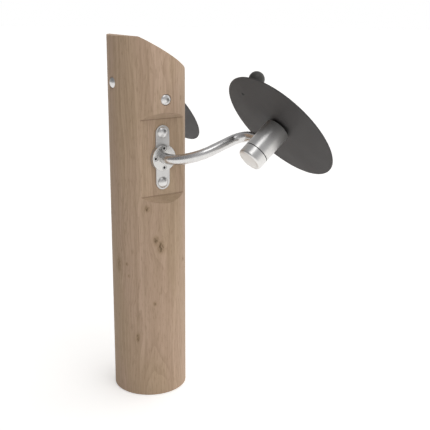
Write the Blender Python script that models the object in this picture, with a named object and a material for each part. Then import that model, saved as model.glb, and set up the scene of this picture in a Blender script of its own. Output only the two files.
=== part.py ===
"""Tai chi spinner: two tilted hand discs on bent steel arms, bolted to the flats of a round wooden post.

Metres, +Z up. The origin is the centre of the post's foot. The person who turns the discs stands at -Y
and faces +Y, so the left arm reaches towards -X and the right arm towards +X.
"""

import math

import bmesh
import bpy
from mathutils import Matrix, Vector

# Post
POST_RADIUS = 0.125
POST_HEIGHT = 1.210
POST_SEGMENTS = 64
SLOPE_ANGLE = math.radians(30)
SLOPE_RIDGE_Y = 0.080
FLAT_DEPTH = 0.029
FLAT_LENGTH = 0.250
FLAT_RUNOUT_ANGLE = math.radians(38)
BRACKET_BELOW_TOP = 0.3835

# Gaps between pieces that touch, round a bolt in its hole, and round pieces that turn
SEAT_GAP = 0.0003
BOLT_HOLE_GAP = 0.0007
RUNNING_GAP = 0.0005
FLANGE_RUNNING_GAP = 0.0010

# Carriage bolts and dome nuts
BOLT_RADIUS = 0.008
BOLT_HEAD_RADIUS = 0.018
BOLT_HEAD_HEIGHT = 0.009
BOLT_HEAD_RIM = 0.0012
BOLT_NECK_WIDTH = 0.016
BOLT_NECK_LENGTH = 0.005
BOLT_END_GAP = 0.002
BOLT_SEGMENTS = 16
SPOT_FACE_MARGIN = 0.002
SPOT_FACE_DEPTH = 0.003
NUT_FLANGE_RADIUS = 0.0175
NUT_FLANGE_THICKNESS = 0.003
NUT_ACROSS_FLATS = 0.024
NUT_HEX_LENGTH = 0.011
NUT_DOME_RADIUS = 0.0115
NUT_BORE_DEPTH = 0.019
NUT_SEGMENTS = 12
SIDE_TIE_BELOW_TOP = 0.1955
FRONT_TIE_BELOW_TOP = 0.1465

# Mounting plate, one on each flat
PLATE_WIDTH = 0.050
PLATE_THICKNESS = 0.005
PLATE_BOLT_SPACING = 0.1635
PLATE_END_MARGIN = 0.0235
PLATE_BOSS_RADIUS = 0.043
PLATE_FILLET = 0.008

# Domed flange that holds the arm
FLANGE_RADIUS = 0.0425
FLANGE_RIM = 0.0045
FLANGE_HEIGHT = 0.0165
FLANGE_TOP_MARGIN = 0.0008
FLANGE_CROWN = 1.4
FLANGE_SOCKET_FLOOR = 0.003
FLANGE_SCREW_CIRCLE = 0.0315
FLANGE_SCREW_RADIUS = 0.005
FLANGE_SCREW_HEAD_RADIUS = 0.008
FLANGE_SCREW_HEAD_HEIGHT = 0.006
FLANGE_SCREW_FLOOR = 0.0025
FLANGE_SCREW_KEY = 0.008

# Arm tube: two bends in one plane
TUBE_RADIUS = 0.01685
TUBE_WALL = 0.0026
TUBE_LEAD = 0.0184
INNER_BEND_RADIUS = 0.113
TUBE_MIDDLE = 0.079
OUTER_BEND_RADIUS = 0.048
TUBE_REACH = 0.0477
BEND_ANGLE = math.radians(85)
ARM_RISE = math.radians(19.5)
BEND_STEPS = 6
TUBE_SEGMENTS = 12

# Hub housing, bearings, spindle and cap
DISC_TILT = math.radians(39)
HUB_SEGMENTS = 20
HUB_RADIUS = 0.041
DISC_GAP = 0.0085
HOUSING_CHAMFER = 0.0009
JOINT_GROOVE_WIDTH = 0.0012
JOINT_GROOVE_DEPTH = 0.003
HOUSING_SHOULDER = 0.0040
ARM_SOCKET_DEPTH = 0.009
ARM_SOCKET_BEHIND_SHOULDER = 0.0195
BEARING_BORE_RADIUS = 0.015
BEARING_OUTER_RADIUS = 0.031
BEARING_WIDTH = 0.016
BALL_RADIUS = 0.0044
BALL_COUNT = 8
RACE_GAP = 0.0006
LAND_FROM_PITCH = 0.0034
CAGE_BAR_RADIUS = 0.0013
BALL_SECTION_SHARE = 0.35
BALL_SECTION_SIDES = 6
SPACER_LENGTH = 0.050
SPACER_WALL = 0.0035
SPINDLE_FLANGE_RADIUS = 0.033
SPINDLE_FLANGE_THICKNESS = 0.0115
SPINDLE_SHOULDER_RADIUS = 0.019
SPINDLE_SHOULDER_LENGTH = 0.0124
SPINDLE_TAIL = 0.002
RETAINING_RING_WIDTH = 0.0015
RETAINING_RING_DEPTH = 0.0040
RETAINING_RING_LUG = 0.0025
RETAINING_GROOVE_DEPTH = 0.0017
RETAINING_RING_OPEN_STEPS = 2
CAP_LENGTH = 0.0350
CAP_SPIGOT_LENGTH = 0.0050
CAP_WALL = 0.0060
CAP_END_WALL = 0.0085
CAP_RIM_RADIUS = 0.007
LOCK_NUT_RADIUS = 0.0225
LOCK_NUT_THICKNESS = 0.007
LOCK_NUT_SLOTS = 4
LOCK_NUT_SLOT_WIDTH = 0.005
LOCK_NUT_SLOT_DEPTH = 0.0022

# Disc, and the plate and screw that clamp it to the spindle
DISC_RADIUS = 0.204
DISC_THICKNESS = 0.004
DISC_EDGE = 0.0006
DISC_SEGMENTS = 40
CLAMP_RADIUS = 0.030
CLAMP_THICKNESS = 0.006
CLAMP_EDGE = 0.002
CENTRE_SCREW_RADIUS = 0.005
CENTRE_SCREW_LENGTH = 0.024
CENTRE_SCREW_HEAD_RADIUS = 0.00875
CENTRE_SCREW_HEAD_HEIGHT = 0.0055
CENTRE_SCREW_CROWN_ANGLE = math.radians(60)
CENTRE_SCREW_KEY = 0.006
TAPPED_HOLE_EXTRA = 0.004

# Knob on its stem near the disc's rim
KNOB_ORBIT = 0.1528
KNOB_REST_ANGLE = math.radians(33.4)
KNOB_RADIUS = 0.0255
KNOB_CENTRE_FROM_DISC = 0.0633
KNOB_FLAT_RADIUS = 0.011
KNOB_BORE_DEPTH = 0.032
KNOB_TOP_ANGLE = math.radians(80)
KNOB_SEGMENTS = 16
STEM_FOOT_RADIUS = 0.013
STEM_FOOT_THICKNESS = 0.004
STEM_RADIUS = 0.0085
STEM_PIN_RADIUS = 0.006
STEM_SNAP_RADIUS = 0.0072
STEM_SNAP_LENGTH = 0.004
STEM_SEGMENTS = 12
KNOB_SCREW_RADIUS = 0.003
KNOB_SCREW_HEAD_RADIUS = 0.0056
KNOB_SCREW_HEAD_RIM = 0.0003
KNOB_SCREW_LENGTH = 0.018
KNOB_SCREW_KEY = 0.004

# Sockets for hexagon keys, and the margin by which a cutter passes a face
SCREW_SEGMENTS = 12
KEY_DEPTH_SHARE = 0.6
CUT_MARGIN = 0.005
CURVE_STEPS = 3
SMOOTH_BELOW = math.radians(35)

# Positions that follow from the sizes: heights, distances from the post's axis, then along the hub's axis
bracket_z = POST_HEIGHT - BRACKET_BELOW_TOP
side_tie_z = POST_HEIGHT - SIDE_TIE_BELOW_TOP
front_tie_z = POST_HEIGHT - FRONT_TIE_BELOW_TOP
flat_from_axis = POST_RADIUS - FLAT_DEPTH
plate_back = flat_from_axis + SEAT_GAP
plate_face = plate_back + PLATE_THICKNESS
bolt_seat = plate_face + SEAT_GAP
flange_back = plate_face + SEAT_GAP
spot_face_radius = max(BOLT_HEAD_RADIUS, NUT_FLANGE_RADIUS) + SPOT_FACE_MARGIN
spot_face = math.sqrt(POST_RADIUS**2 - spot_face_radius**2) - SPOT_FACE_DEPTH
housing_bore = BEARING_OUTER_RADIUS + SEAT_GAP
spindle_radius = BEARING_BORE_RADIUS - SEAT_GAP
spindle_flange_back = -SEAT_GAP - SPINDLE_FLANGE_THICKNESS
shoulder_back = spindle_flange_back - SPINDLE_SHOULDER_LENGTH
front_bearing = shoulder_back - SEAT_GAP
spacer_front = front_bearing - BEARING_WIDTH - SEAT_GAP
spacer_back = spacer_front - SPACER_LENGTH
rear_bearing = spacer_back - SEAT_GAP
cap_spigot = rear_bearing - BEARING_WIDTH - SEAT_GAP
cap_front = cap_spigot - CAP_SPIGOT_LENGTH
housing_back = cap_front + SEAT_GAP
cap_back = cap_front - CAP_LENGTH
arm_seat = spacer_front - ARM_SOCKET_BEHIND_SHOULDER
arm_socket_floor = HUB_RADIUS - ARM_SOCKET_DEPTH
disc_face = DISC_THICKNESS + SEAT_GAP
clamp_face = disc_face + CLAMP_THICKNESS
knob_centre = DISC_THICKNESS + KNOB_CENTRE_FROM_DISC
knob_flat = knob_centre - math.sqrt(KNOB_RADIUS**2 - KNOB_FLAT_RADIUS**2)
knob_bore_top = knob_flat + KNOB_BORE_DEPTH
stem_top = knob_bore_top - SEAT_GAP
snap_start = stem_top - STEM_SNAP_LENGTH


# Materials


def make_material(name, colour, roughness, metallic):
    material = bpy.data.materials.new(name)
    material.use_nodes = True
    shader = material.node_tree.nodes["Principled BSDF"]
    shader.inputs["Base Color"].default_value = (*colour, 1.0)
    shader.inputs["Roughness"].default_value = roughness
    shader.inputs["Metallic"].default_value = metallic
    material.diffuse_color = (*colour, 1.0)
    return material


# Outlines and profiles


def ring(radius, z, count, sides=0, corner=0.0):
    """Points round Z on a circle, or on a regular polygon whose flats lie at the radius."""
    points = []
    for step in range(count):
        angle = math.tau * step / count
        reach = radius
        if sides:
            pitch = math.tau / sides
            reach = radius / math.cos((angle - corner) % pitch - pitch / 2)
        points.append(Vector((reach * math.cos(angle), reach * math.sin(angle), z)))
    return points


def arc(centre, radius, start, end, steps):
    """Points of a flat arc, both ends included, as (x, y)."""
    angles = [start + (end - start) * step / steps for step in range(steps + 1)]
    return [(centre[0] + radius * math.cos(a), centre[1] + radius * math.sin(a)) for a in angles]


def plate_outline():
    """Strip with round ends and a round middle, filleted where they meet."""
    half_width = PLATE_WIDTH / 2
    end_centre = PLATE_BOLT_SPACING / 2 + PLATE_END_MARGIN - half_width
    fillet_x = half_width + PLATE_FILLET
    fillet_y = math.sqrt((PLATE_BOSS_RADIUS + PLATE_FILLET) ** 2 - fillet_x**2)
    meeting = math.atan2(fillet_y, fillet_x)
    quarter = arc((0, 0), PLATE_BOSS_RADIUS, 0, meeting, CURVE_STEPS)
    quarter += arc((fillet_x, fillet_y), PLATE_FILLET, math.pi + meeting, math.pi, 2)[1:]
    quarter += arc((0, end_centre), half_width, 0, math.pi / 2, CURVE_STEPS)
    mirrored = [(-x, y) for x, y in reversed(quarter)]
    upper = quarter + mirrored[1:]
    return upper + [(-x, -y) for x, y in upper[1:-1]]


def retaining_ring_outline(outer, inner, lug):
    """Open ring whose two ends are thickened inwards to lugs."""
    pitch = math.tau / HUB_SEGMENTS
    first = pitch * RETAINING_RING_OPEN_STEPS / 2
    last = math.tau - first
    steps = HUB_SEGMENTS - RETAINING_RING_OPEN_STEPS
    outline = arc((0, 0), outer, first, last, steps)
    outline += arc((0, 0), lug, last, last - pitch, 1)
    outline += arc((0, 0), inner, last - pitch, first + pitch, steps - 2)
    return outline + arc((0, 0), lug, first + pitch, first, 1)


def race(centre_radius, radius, land, outward):
    """Profile of a ball groove as (radius, z) round the pitch circle, from its lower edge to its upper."""
    reach = math.acos(land / radius)
    profile = []
    for angle in (-reach, 0, reach):
        profile.append((centre_radius + outward * radius * math.cos(angle), radius * math.sin(angle)))
    return profile


# Solids


def add_turned(bm, profile, segments, closed=False, place=None):
    """Turn a (radius, z) profile about Z. An open profile gets flat ends; a closed one makes a ring."""
    before = set(bm.verts)
    verts = [bm.verts.new((radius, 0, z)) for radius, z in profile]
    edges = [bm.edges.new(pair) for pair in zip(verts, verts[1:])]
    if closed:
        edges.append(bm.edges.new((verts[-1], verts[0])))
    bmesh.ops.spin(
        bm,
        geom=verts + edges,
        cent=(0, 0, 0),
        axis=(0, 0, 1),
        angle=math.tau,
        steps=segments,
        use_merge=True,
    )
    made = [vert for vert in bm.verts if vert not in before]
    if not closed:
        open_edges = {edge for vert in made for edge in vert.link_edges if edge.is_boundary}
        bmesh.ops.holes_fill(bm, edges=list(open_edges), sides=0)
    if place:
        bmesh.ops.transform(bm, matrix=place, verts=made)


def add_loft(bm, rings, closed=False):
    """Skin a row of point rings. The end rings are capped, or joined to each other when closed."""
    loops = [[bm.verts.new(point) for point in points] for points in rings]
    pairs = list(zip(loops, loops[1:]))
    if closed:
        pairs.append((loops[-1], loops[0]))
    else:
        bm.faces.new(loops[0])
        bm.faces.new(loops[-1])
    for lower, upper in pairs:
        for index, vert in enumerate(lower):
            after = (index + 1) % len(lower)
            bm.faces.new((vert, lower[after], upper[after], upper[index]))


def add_prism(bm, outline, bottom, top):
    """Extrude a flat outline of (x, y) points along Z."""
    face = bm.faces.new([bm.verts.new((x, y, bottom)) for x, y in outline])
    extruded = bmesh.ops.extrude_face_region(bm, geom=[face])["geom"]
    raised = [item for item in extruded if isinstance(item, bmesh.types.BMVert)]
    bmesh.ops.translate(bm, verts=raised, vec=(0, 0, top - bottom))


def add_box(bm, low, high):
    """Box between two corners."""
    made = bmesh.ops.create_cube(bm, size=1.0)["verts"]
    size = [b - a for a, b in zip(low, high)]
    centre = [(a + b) / 2 for a, b in zip(low, high)]
    bmesh.ops.scale(bm, vec=size, verts=made)
    bmesh.ops.translate(bm, vec=centre, verts=made)


def object_from(bm, name, matrix, parent):
    bmesh.ops.recalc_face_normals(bm, faces=bm.faces)
    mesh = bpy.data.meshes.new(name)
    bm.to_mesh(mesh)
    bm.free()
    made = bpy.data.objects.new(name, mesh)
    bpy.context.scene.collection.objects.link(made)
    made.parent = parent
    made.matrix_local = matrix or Matrix.Identity(4)
    return made


def add_piece(name, bm, material, parent=None, matrix=None):
    """One named solid with its material, shaded smooth except across sharp edges."""
    piece = object_from(bm, name, matrix, parent)
    piece.data.materials.append(material)
    piece.data.shade_smooth()
    piece.data.set_sharp_from_angle(angle=SMOOTH_BELOW)
    return piece


def cut(piece, bm, what):
    """Cut a helper shape, given in the piece's own space, out of the piece."""
    cutter = object_from(bm, piece.name + "_" + what, None, piece)
    cutter.hide_render = True
    cutter.display_type = "WIRE"
    boolean = piece.modifiers.new(what, "BOOLEAN")
    boolean.operation = "DIFFERENCE"
    boolean.solver = "EXACT"
    boolean.object = cutter


def add_frame(name, matrix, parent=None):
    """Empty that marks a bracket, a hub or a turning axis."""
    frame = bpy.data.objects.new(name, None)
    frame.empty_display_size = HUB_RADIUS
    bpy.context.scene.collection.objects.link(frame)
    frame.parent = parent
    frame.matrix_local = matrix
    return frame


def axes_matrix(x_axis, z_axis, origin):
    """Matrix whose X and Z point along two square directions."""
    x_axis = Vector(x_axis)
    z_axis = Vector(z_axis)
    columns = Matrix((x_axis, z_axis.cross(x_axis), z_axis)).transposed()
    return Matrix.Translation(origin) @ columns.to_4x4()


# Post, and the bolts that pass through it


def tie_hole_profile():
    """Hole right through the post: spot faces at both ends, and room for the bolt's square neck."""
    hole = BOLT_RADIUS + BOLT_HOLE_GAP
    neck_hole = BOLT_NECK_WIDTH / math.sqrt(2) + BOLT_HOLE_GAP
    outside = POST_RADIUS + CUT_MARGIN
    neck_floor = spot_face - BOLT_NECK_LENGTH - BOLT_HOLE_GAP
    return [
        (spot_face_radius, outside),
        (spot_face_radius, spot_face),
        (neck_hole, spot_face),
        (neck_hole, neck_floor),
        (hole, neck_floor),
        (hole, -spot_face),
        (spot_face_radius, -spot_face),
        (spot_face_radius, -outside),
    ]


def clamp_bolt_heights():
    """Heights of the two bolts that clamp both plates, with their names."""
    half = PLATE_BOLT_SPACING / 2
    return (("upper", bracket_z + half), ("lower", bracket_z - half))


def flat_section(side, outside, y):
    """Section of the wood planed away at one flat: its ends run out at a slant to the post's round side."""
    half = FLAT_LENGTH / 2
    runout = (outside - flat_from_axis) * math.tan(FLAT_RUNOUT_ANGLE)
    lower_end = ((flat_from_axis, -half), (outside, -half - runout))
    upper_end = ((outside, half + runout), (flat_from_axis, half))
    return [Vector((side * x, y, bracket_z + z)) for x, z in lower_end + upper_end]


def build_post(wood):
    bm = bmesh.new()
    add_turned(bm, [(POST_RADIUS, 0), (POST_RADIUS, POST_HEIGHT)], POST_SEGMENTS)
    cut_plane = bmesh.ops.bisect_plane(
        bm,
        geom=bm.verts[:] + bm.edges[:] + bm.faces[:],
        plane_co=(0, SLOPE_RIDGE_Y, POST_HEIGHT),
        plane_no=(0, -math.sin(SLOPE_ANGLE), math.cos(SLOPE_ANGLE)),
        clear_outer=True,
    )
    open_edges = [item for item in cut_plane["geom_cut"] if isinstance(item, bmesh.types.BMEdge)]
    bmesh.ops.holes_fill(bm, edges=open_edges, sides=0)
    post = add_piece("post", bm, wood)

    flats = bmesh.new()
    outside = POST_RADIUS + CUT_MARGIN
    for side in (-1, 1):
        add_loft(flats, [flat_section(side, outside, y) for y in (-outside, outside)])
    cut(post, flats, "flats")

    holes = bmesh.new()
    for _, height in clamp_bolt_heights():
        hole = BOLT_RADIUS + BOLT_HOLE_GAP
        profile = [(hole, outside), (hole, -outside)]
        add_turned(holes, profile, BOLT_SEGMENTS, place=bolt_matrix((-1, 0, 0), 0, height))
    side_tie = bolt_matrix((-1, 0, 0), 0, side_tie_z)
    front_tie = bolt_matrix((0, 1, 0), 0, front_tie_z)
    for place in (side_tie, front_tie):
        add_turned(holes, tie_hole_profile(), BOLT_SEGMENTS, place=place)
    cut(post, holes, "bolt_holes")


def bolt_matrix(outward, distance, height):
    """Place on the post at a distance from its axis, with Z pointing outwards and X up."""
    origin = Vector(outward) * distance + Vector((0, 0, height))
    return axes_matrix((0, 0, 1), outward, origin)


def bolt_rings(grip):
    """Carriage bolt: its head seats at z = 0, and its shank passes the grip into the nut."""
    neck = BOLT_NECK_WIDTH / 2
    tip = -(grip + NUT_BORE_DEPTH - BOLT_END_GAP)
    rings = [
        ring(BOLT_RADIUS, tip, BOLT_SEGMENTS),
        ring(BOLT_RADIUS, -BOLT_NECK_LENGTH, BOLT_SEGMENTS),
        ring(neck, -BOLT_NECK_LENGTH, BOLT_SEGMENTS, 4, math.pi / 4),
        ring(neck, 0, BOLT_SEGMENTS, 4, math.pi / 4),
        ring(BOLT_HEAD_RADIUS, 0, BOLT_SEGMENTS),
    ]
    dome = BOLT_HEAD_HEIGHT - BOLT_HEAD_RIM
    sphere = (BOLT_HEAD_RADIUS**2 + dome**2) / (2 * dome)
    reach = math.asin(BOLT_HEAD_RADIUS / sphere)
    for step in range(CURVE_STEPS):
        angle = reach * (1 - step / CURVE_STEPS)
        height = BOLT_HEAD_HEIGHT - sphere * (1 - math.cos(angle))
        rings.append(ring(sphere * math.sin(angle), height, BOLT_SEGMENTS))
    return rings


def nut_rings():
    """Dome nut with a collar, seated at z = 0 and open below."""
    bore = BOLT_RADIUS + SEAT_GAP
    flat = NUT_ACROSS_FLATS / 2
    hex_top = NUT_FLANGE_THICKNESS + NUT_HEX_LENGTH
    rings = [
        ring(bore, NUT_BORE_DEPTH, NUT_SEGMENTS),
        ring(bore, 0, NUT_SEGMENTS),
        ring(NUT_FLANGE_RADIUS, 0, NUT_SEGMENTS),
        ring(NUT_FLANGE_RADIUS, NUT_FLANGE_THICKNESS, NUT_SEGMENTS),
        ring(flat, NUT_FLANGE_THICKNESS, NUT_SEGMENTS, 6),
        ring(flat, hex_top, NUT_SEGMENTS, 6),
    ]
    for step in range(CURVE_STEPS):
        angle = math.pi / 2 * step / CURVE_STEPS
        height = hex_top + NUT_DOME_RADIUS * math.sin(angle)
        rings.append(ring(NUT_DOME_RADIUS * math.cos(angle), height, NUT_SEGMENTS))
    return rings


def build_bolt(name, outward, seat, height, steel):
    """Bolt through the post with its head on the outward side and its dome nut on the other."""
    bolt = bmesh.new()
    add_loft(bolt, bolt_rings(2 * seat))
    add_piece(name + "_bolt", bolt, steel, matrix=bolt_matrix(outward, seat, height))
    nut = bmesh.new()
    add_loft(nut, nut_rings())
    inward = -Vector(outward)
    add_piece(name + "_nut", nut, steel, matrix=bolt_matrix(inward, seat, height))


# Bracket: plate, flange, screws and arm, on a frame whose Z leaves the post's axis


def screw_places(side):
    """Centres of the four flange screws, named for where they lie on the flange."""
    front = -side * FLANGE_SCREW_CIRCLE
    return (
        ("top", (0, FLANGE_SCREW_CIRCLE)),
        ("bottom", (0, -FLANGE_SCREW_CIRCLE)),
        ("front", (front, 0)),
        ("back", (-front, 0)),
    )


def build_plate(side, label, frame, steel):
    bm = bmesh.new()
    add_prism(bm, plate_outline(), plate_back, plate_face)
    plate = add_piece("mounting_plate_" + label, bm, steel, frame)

    below = plate_back - CUT_MARGIN
    above = plate_face + CUT_MARGIN
    holes = bmesh.new()
    neck_hole = BOLT_NECK_WIDTH / 2 + SEAT_GAP
    for y in (PLATE_BOLT_SPACING / 2, -PLATE_BOLT_SPACING / 2):
        add_box(holes, (-neck_hole, y - neck_hole, below), (neck_hole, y + neck_hole, above))
    hole = FLANGE_SCREW_RADIUS + SEAT_GAP
    for _, (x, y) in screw_places(side):
        place = Matrix.Translation((x, y, 0))
        add_turned(holes, [(hole, below), (hole, above)], SCREW_SEGMENTS, place=place)
    cut(plate, holes, "holes")


def build_flange(side, label, frame, steel):
    """Crowned round flange with a socket for the tube and a counterbore for each screw."""
    socket = TUBE_RADIUS + SEAT_GAP
    inner = socket + FLANGE_TOP_MARGIN
    profile = [
        (socket, flange_back + FLANGE_SOCKET_FLOOR),
        (socket, flange_back + FLANGE_HEIGHT),
    ]
    for step in range(CURVE_STEPS + 1):
        share = step / CURVE_STEPS
        rise = (FLANGE_HEIGHT - FLANGE_RIM) * (1 - share**FLANGE_CROWN)
        profile.append((inner + (FLANGE_RADIUS - inner) * share, flange_back + FLANGE_RIM + rise))
    profile.append((FLANGE_RADIUS, flange_back))
    bm = bmesh.new()
    add_turned(bm, profile, HUB_SEGMENTS)
    flange = add_piece("arm_flange_" + label, bm, steel, frame)

    hole = FLANGE_SCREW_RADIUS + SEAT_GAP
    recess = FLANGE_SCREW_HEAD_RADIUS + RUNNING_GAP
    floor = flange_back + FLANGE_SCREW_FLOOR
    profile = [
        (hole, flange_back - CUT_MARGIN),
        (hole, floor),
        (recess, floor),
        (recess, flange_back + FLANGE_HEIGHT + CUT_MARGIN),
    ]
    holes = bmesh.new()
    for _, (x, y) in screw_places(side):
        add_turned(holes, profile, SCREW_SEGMENTS, place=Matrix.Translation((x, y, 0)))
    cut(flange, holes, "screw_holes")


def build_flange_screws(side, label, frame, steel):
    seat = flange_back + FLANGE_SCREW_FLOOR + SEAT_GAP
    top = seat + FLANGE_SCREW_HEAD_HEIGHT
    key = FLANGE_SCREW_KEY / 2
    rings = [
        ring(FLANGE_SCREW_RADIUS, plate_back, SCREW_SEGMENTS),
        ring(FLANGE_SCREW_RADIUS, seat, SCREW_SEGMENTS),
        ring(FLANGE_SCREW_HEAD_RADIUS, seat, SCREW_SEGMENTS),
        ring(FLANGE_SCREW_HEAD_RADIUS, top, SCREW_SEGMENTS),
        ring(key, top, SCREW_SEGMENTS, 6),
        ring(key, top - KEY_DEPTH_SHARE * FLANGE_SCREW_HEAD_HEIGHT, SCREW_SEGMENTS, 6),
    ]
    for where, (x, y) in screw_places(side):
        bm = bmesh.new()
        add_loft(bm, rings)
        matrix = Matrix.Translation((x, y, 0))
        add_piece("flange_screw_" + where + "_" + label, bm, steel, frame, matrix)


def arm_stations(side):
    """Centre line of the arm in its bracket's frame, as (point, direction), and its plane's normal."""
    outward = Vector((0, 0, 1))
    towards = Vector((-side * math.cos(ARM_RISE), math.sin(ARM_RISE), 0))
    point = outward * (flange_back + FLANGE_SOCKET_FLOOR + SEAT_GAP)
    stations = [(point, outward)]

    def heading(angle):
        return outward * math.cos(angle) + towards * math.sin(angle)

    def go(angle, length):
        start = stations[-1][0]
        stations.append((start + heading(angle) * length, heading(angle)))

    def bend(start_angle, end_angle, radius):
        turn = math.copysign(1, end_angle - start_angle)
        left = outward * -math.sin(start_angle) + towards * math.cos(start_angle)
        centre = stations[-1][0] + left * radius * turn
        for step in range(1, BEND_STEPS + 1):
            angle = start_angle + (end_angle - start_angle) * step / BEND_STEPS
            side_way = outward * -math.sin(angle) + towards * math.cos(angle)
            stations.append((centre - side_way * radius * turn, heading(angle)))

    go(0, TUBE_LEAD)
    bend(0, BEND_ANGLE, INNER_BEND_RADIUS)
    go(BEND_ANGLE, TUBE_MIDDLE)
    bend(BEND_ANGLE, 0, OUTER_BEND_RADIUS)
    go(0, TUBE_REACH)
    return stations, outward.cross(towards)


def build_arm(side, label, frame, steel):
    """Hollow tube swept along the arm's centre line."""
    stations, normal = arm_stations(side)

    def skin(radius):
        rings = []
        for point, direction in stations:
            across = normal.cross(direction)
            circle = ring(radius, 0, TUBE_SEGMENTS)
            rings.append([point + across * c.x + normal * c.y for c in circle])
        return rings

    outer = skin(TUBE_RADIUS)
    inner = skin(TUBE_RADIUS - TUBE_WALL)
    bm = bmesh.new()
    add_loft(bm, outer + inner[::-1], closed=True)
    add_piece("arm_tube_" + label, bm, steel, frame)


# Hub, on a frame whose Z leaves the disc's back along its axis and whose -X faces the arm


def build_housing(label, frame, steel):
    """Turned housing: recess for the spindle's flange, ring groove, two bearing seats, groove at the cap."""
    front = -DISC_GAP
    recess = SPINDLE_FLANGE_RADIUS + FLANGE_RUNNING_GAP
    recess_floor = spindle_flange_back - FLANGE_RUNNING_GAP
    groove = housing_bore + RETAINING_GROOVE_DEPTH
    groove_front = front_bearing + RETAINING_RING_WIDTH + 2 * SEAT_GAP
    middle_bore = housing_bore - HOUSING_SHOULDER
    profile = [
        (HUB_RADIUS - HOUSING_CHAMFER, front),
        (HUB_RADIUS, front - HOUSING_CHAMFER),
        (HUB_RADIUS, housing_back + JOINT_GROOVE_WIDTH),
        (HUB_RADIUS - JOINT_GROOVE_DEPTH, housing_back + JOINT_GROOVE_WIDTH),
        (HUB_RADIUS - JOINT_GROOVE_DEPTH, housing_back),
        (housing_bore, housing_back),
        (housing_bore, spacer_back),
        (middle_bore, spacer_back),
        (middle_bore, spacer_front),
        (housing_bore, spacer_front),
        (housing_bore, front_bearing),
        (groove, front_bearing),
        (groove, groove_front),
        (housing_bore, groove_front),
        (housing_bore, recess_floor),
        (recess, recess_floor),
        (recess, front),
    ]
    bm = bmesh.new()
    add_turned(bm, profile, HUB_SEGMENTS, closed=True)
    housing = add_piece("hub_housing_" + label, bm, steel, frame)

    socket = bmesh.new()
    radius = TUBE_RADIUS + SEAT_GAP
    profile = [(radius, arm_socket_floor), (radius, HUB_RADIUS + CUT_MARGIN)]
    place = axes_matrix((0, 0, 1), (-1, 0, 0), (0, 0, arm_seat))
    add_turned(socket, profile, HUB_SEGMENTS, place=place)
    cut(housing, socket, "arm_socket")


def build_cap(label, frame, steel):
    """Closed rear cap with a rounded rim, whose spigot enters the housing behind the rear bearing."""
    profile = [
        (BEARING_OUTER_RADIUS - CAP_WALL, cap_back + CAP_END_WALL),
        (BEARING_OUTER_RADIUS - CAP_WALL, cap_spigot),
        (BEARING_OUTER_RADIUS, cap_spigot),
        (BEARING_OUTER_RADIUS, cap_front),
        (HUB_RADIUS, cap_front),
    ]
    rim_centre = (HUB_RADIUS - CAP_RIM_RADIUS, cap_back + CAP_RIM_RADIUS)
    profile += arc(rim_centre, CAP_RIM_RADIUS, 0, -math.pi / 2, CURVE_STEPS)
    bm = bmesh.new()
    add_turned(bm, profile, HUB_SEGMENTS)
    add_piece("hub_cap_" + label, bm, steel, frame)


def build_bearing(name, label, front, hub, disc_axis, steel):
    """Ball bearing: outer ring in the housing, inner ring on the spindle, and balls linked by their cage."""
    pitch = (BEARING_BORE_RADIUS + BEARING_OUTER_RADIUS) / 2
    half = BEARING_WIDTH / 2
    matrix = Matrix.Translation((0, 0, front - half))
    groove = BALL_RADIUS + RACE_GAP

    outer_land = pitch + LAND_FROM_PITCH
    profile = [(outer_land, -half), *race(pitch, groove, LAND_FROM_PITCH, 1), (outer_land, half)]
    profile += [(BEARING_OUTER_RADIUS, half), (BEARING_OUTER_RADIUS, -half)]
    outer = bmesh.new()
    add_turned(outer, profile, HUB_SEGMENTS, closed=True)
    add_piece(name + "_outer_ring_" + label, outer, steel, hub, matrix)

    inner_land = pitch - LAND_FROM_PITCH
    profile = [(inner_land, -half), *race(pitch, groove, LAND_FROM_PITCH, -1), (inner_land, half)]
    profile += [(BEARING_BORE_RADIUS, half), (BEARING_BORE_RADIUS, -half)]
    inner = bmesh.new()
    add_turned(inner, profile, HUB_SEGMENTS, closed=True)
    add_piece(name + "_inner_ring_" + label, inner, steel, disc_axis, matrix)

    balls = bmesh.new()
    add_loft(balls, ball_train_rings(pitch), closed=True)
    add_piece(name + "_balls_" + label, balls, steel, hub, matrix)


def ball_train_rings(pitch):
    """Sections along the pitch circle that swell to each ball and narrow to the cage bar between."""
    end = math.acos(CAGE_BAR_RADIUS / BALL_RADIUS)
    rings = []
    for ball in range(BALL_COUNT):
        for share in (-1, -BALL_SECTION_SHARE, BALL_SECTION_SHARE, 1):
            along = BALL_RADIUS * math.sin(share * end)
            section = BALL_RADIUS * math.cos(share * end)
            angle = math.tau * ball / BALL_COUNT + math.asin(along / pitch)
            outward = Vector((math.cos(angle), math.sin(angle), 0))
            circle = ring(section, 0, BALL_SECTION_SIDES)
            rings.append([outward * (pitch + c.x) + Vector((0, 0, c.y)) for c in circle])
    return rings


def build_retaining_ring(label, frame, steel):
    """Open spring ring in the housing's groove, in front of the front bearing."""
    outer = housing_bore + RETAINING_GROOVE_DEPTH - SEAT_GAP
    inner = outer - RETAINING_RING_DEPTH
    back = front_bearing + SEAT_GAP
    bm = bmesh.new()
    outline = retaining_ring_outline(outer, inner, inner - RETAINING_RING_LUG)
    add_prism(bm, outline, back, back + RETAINING_RING_WIDTH)
    add_piece("retaining_ring_" + label, bm, steel, frame)


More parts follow.
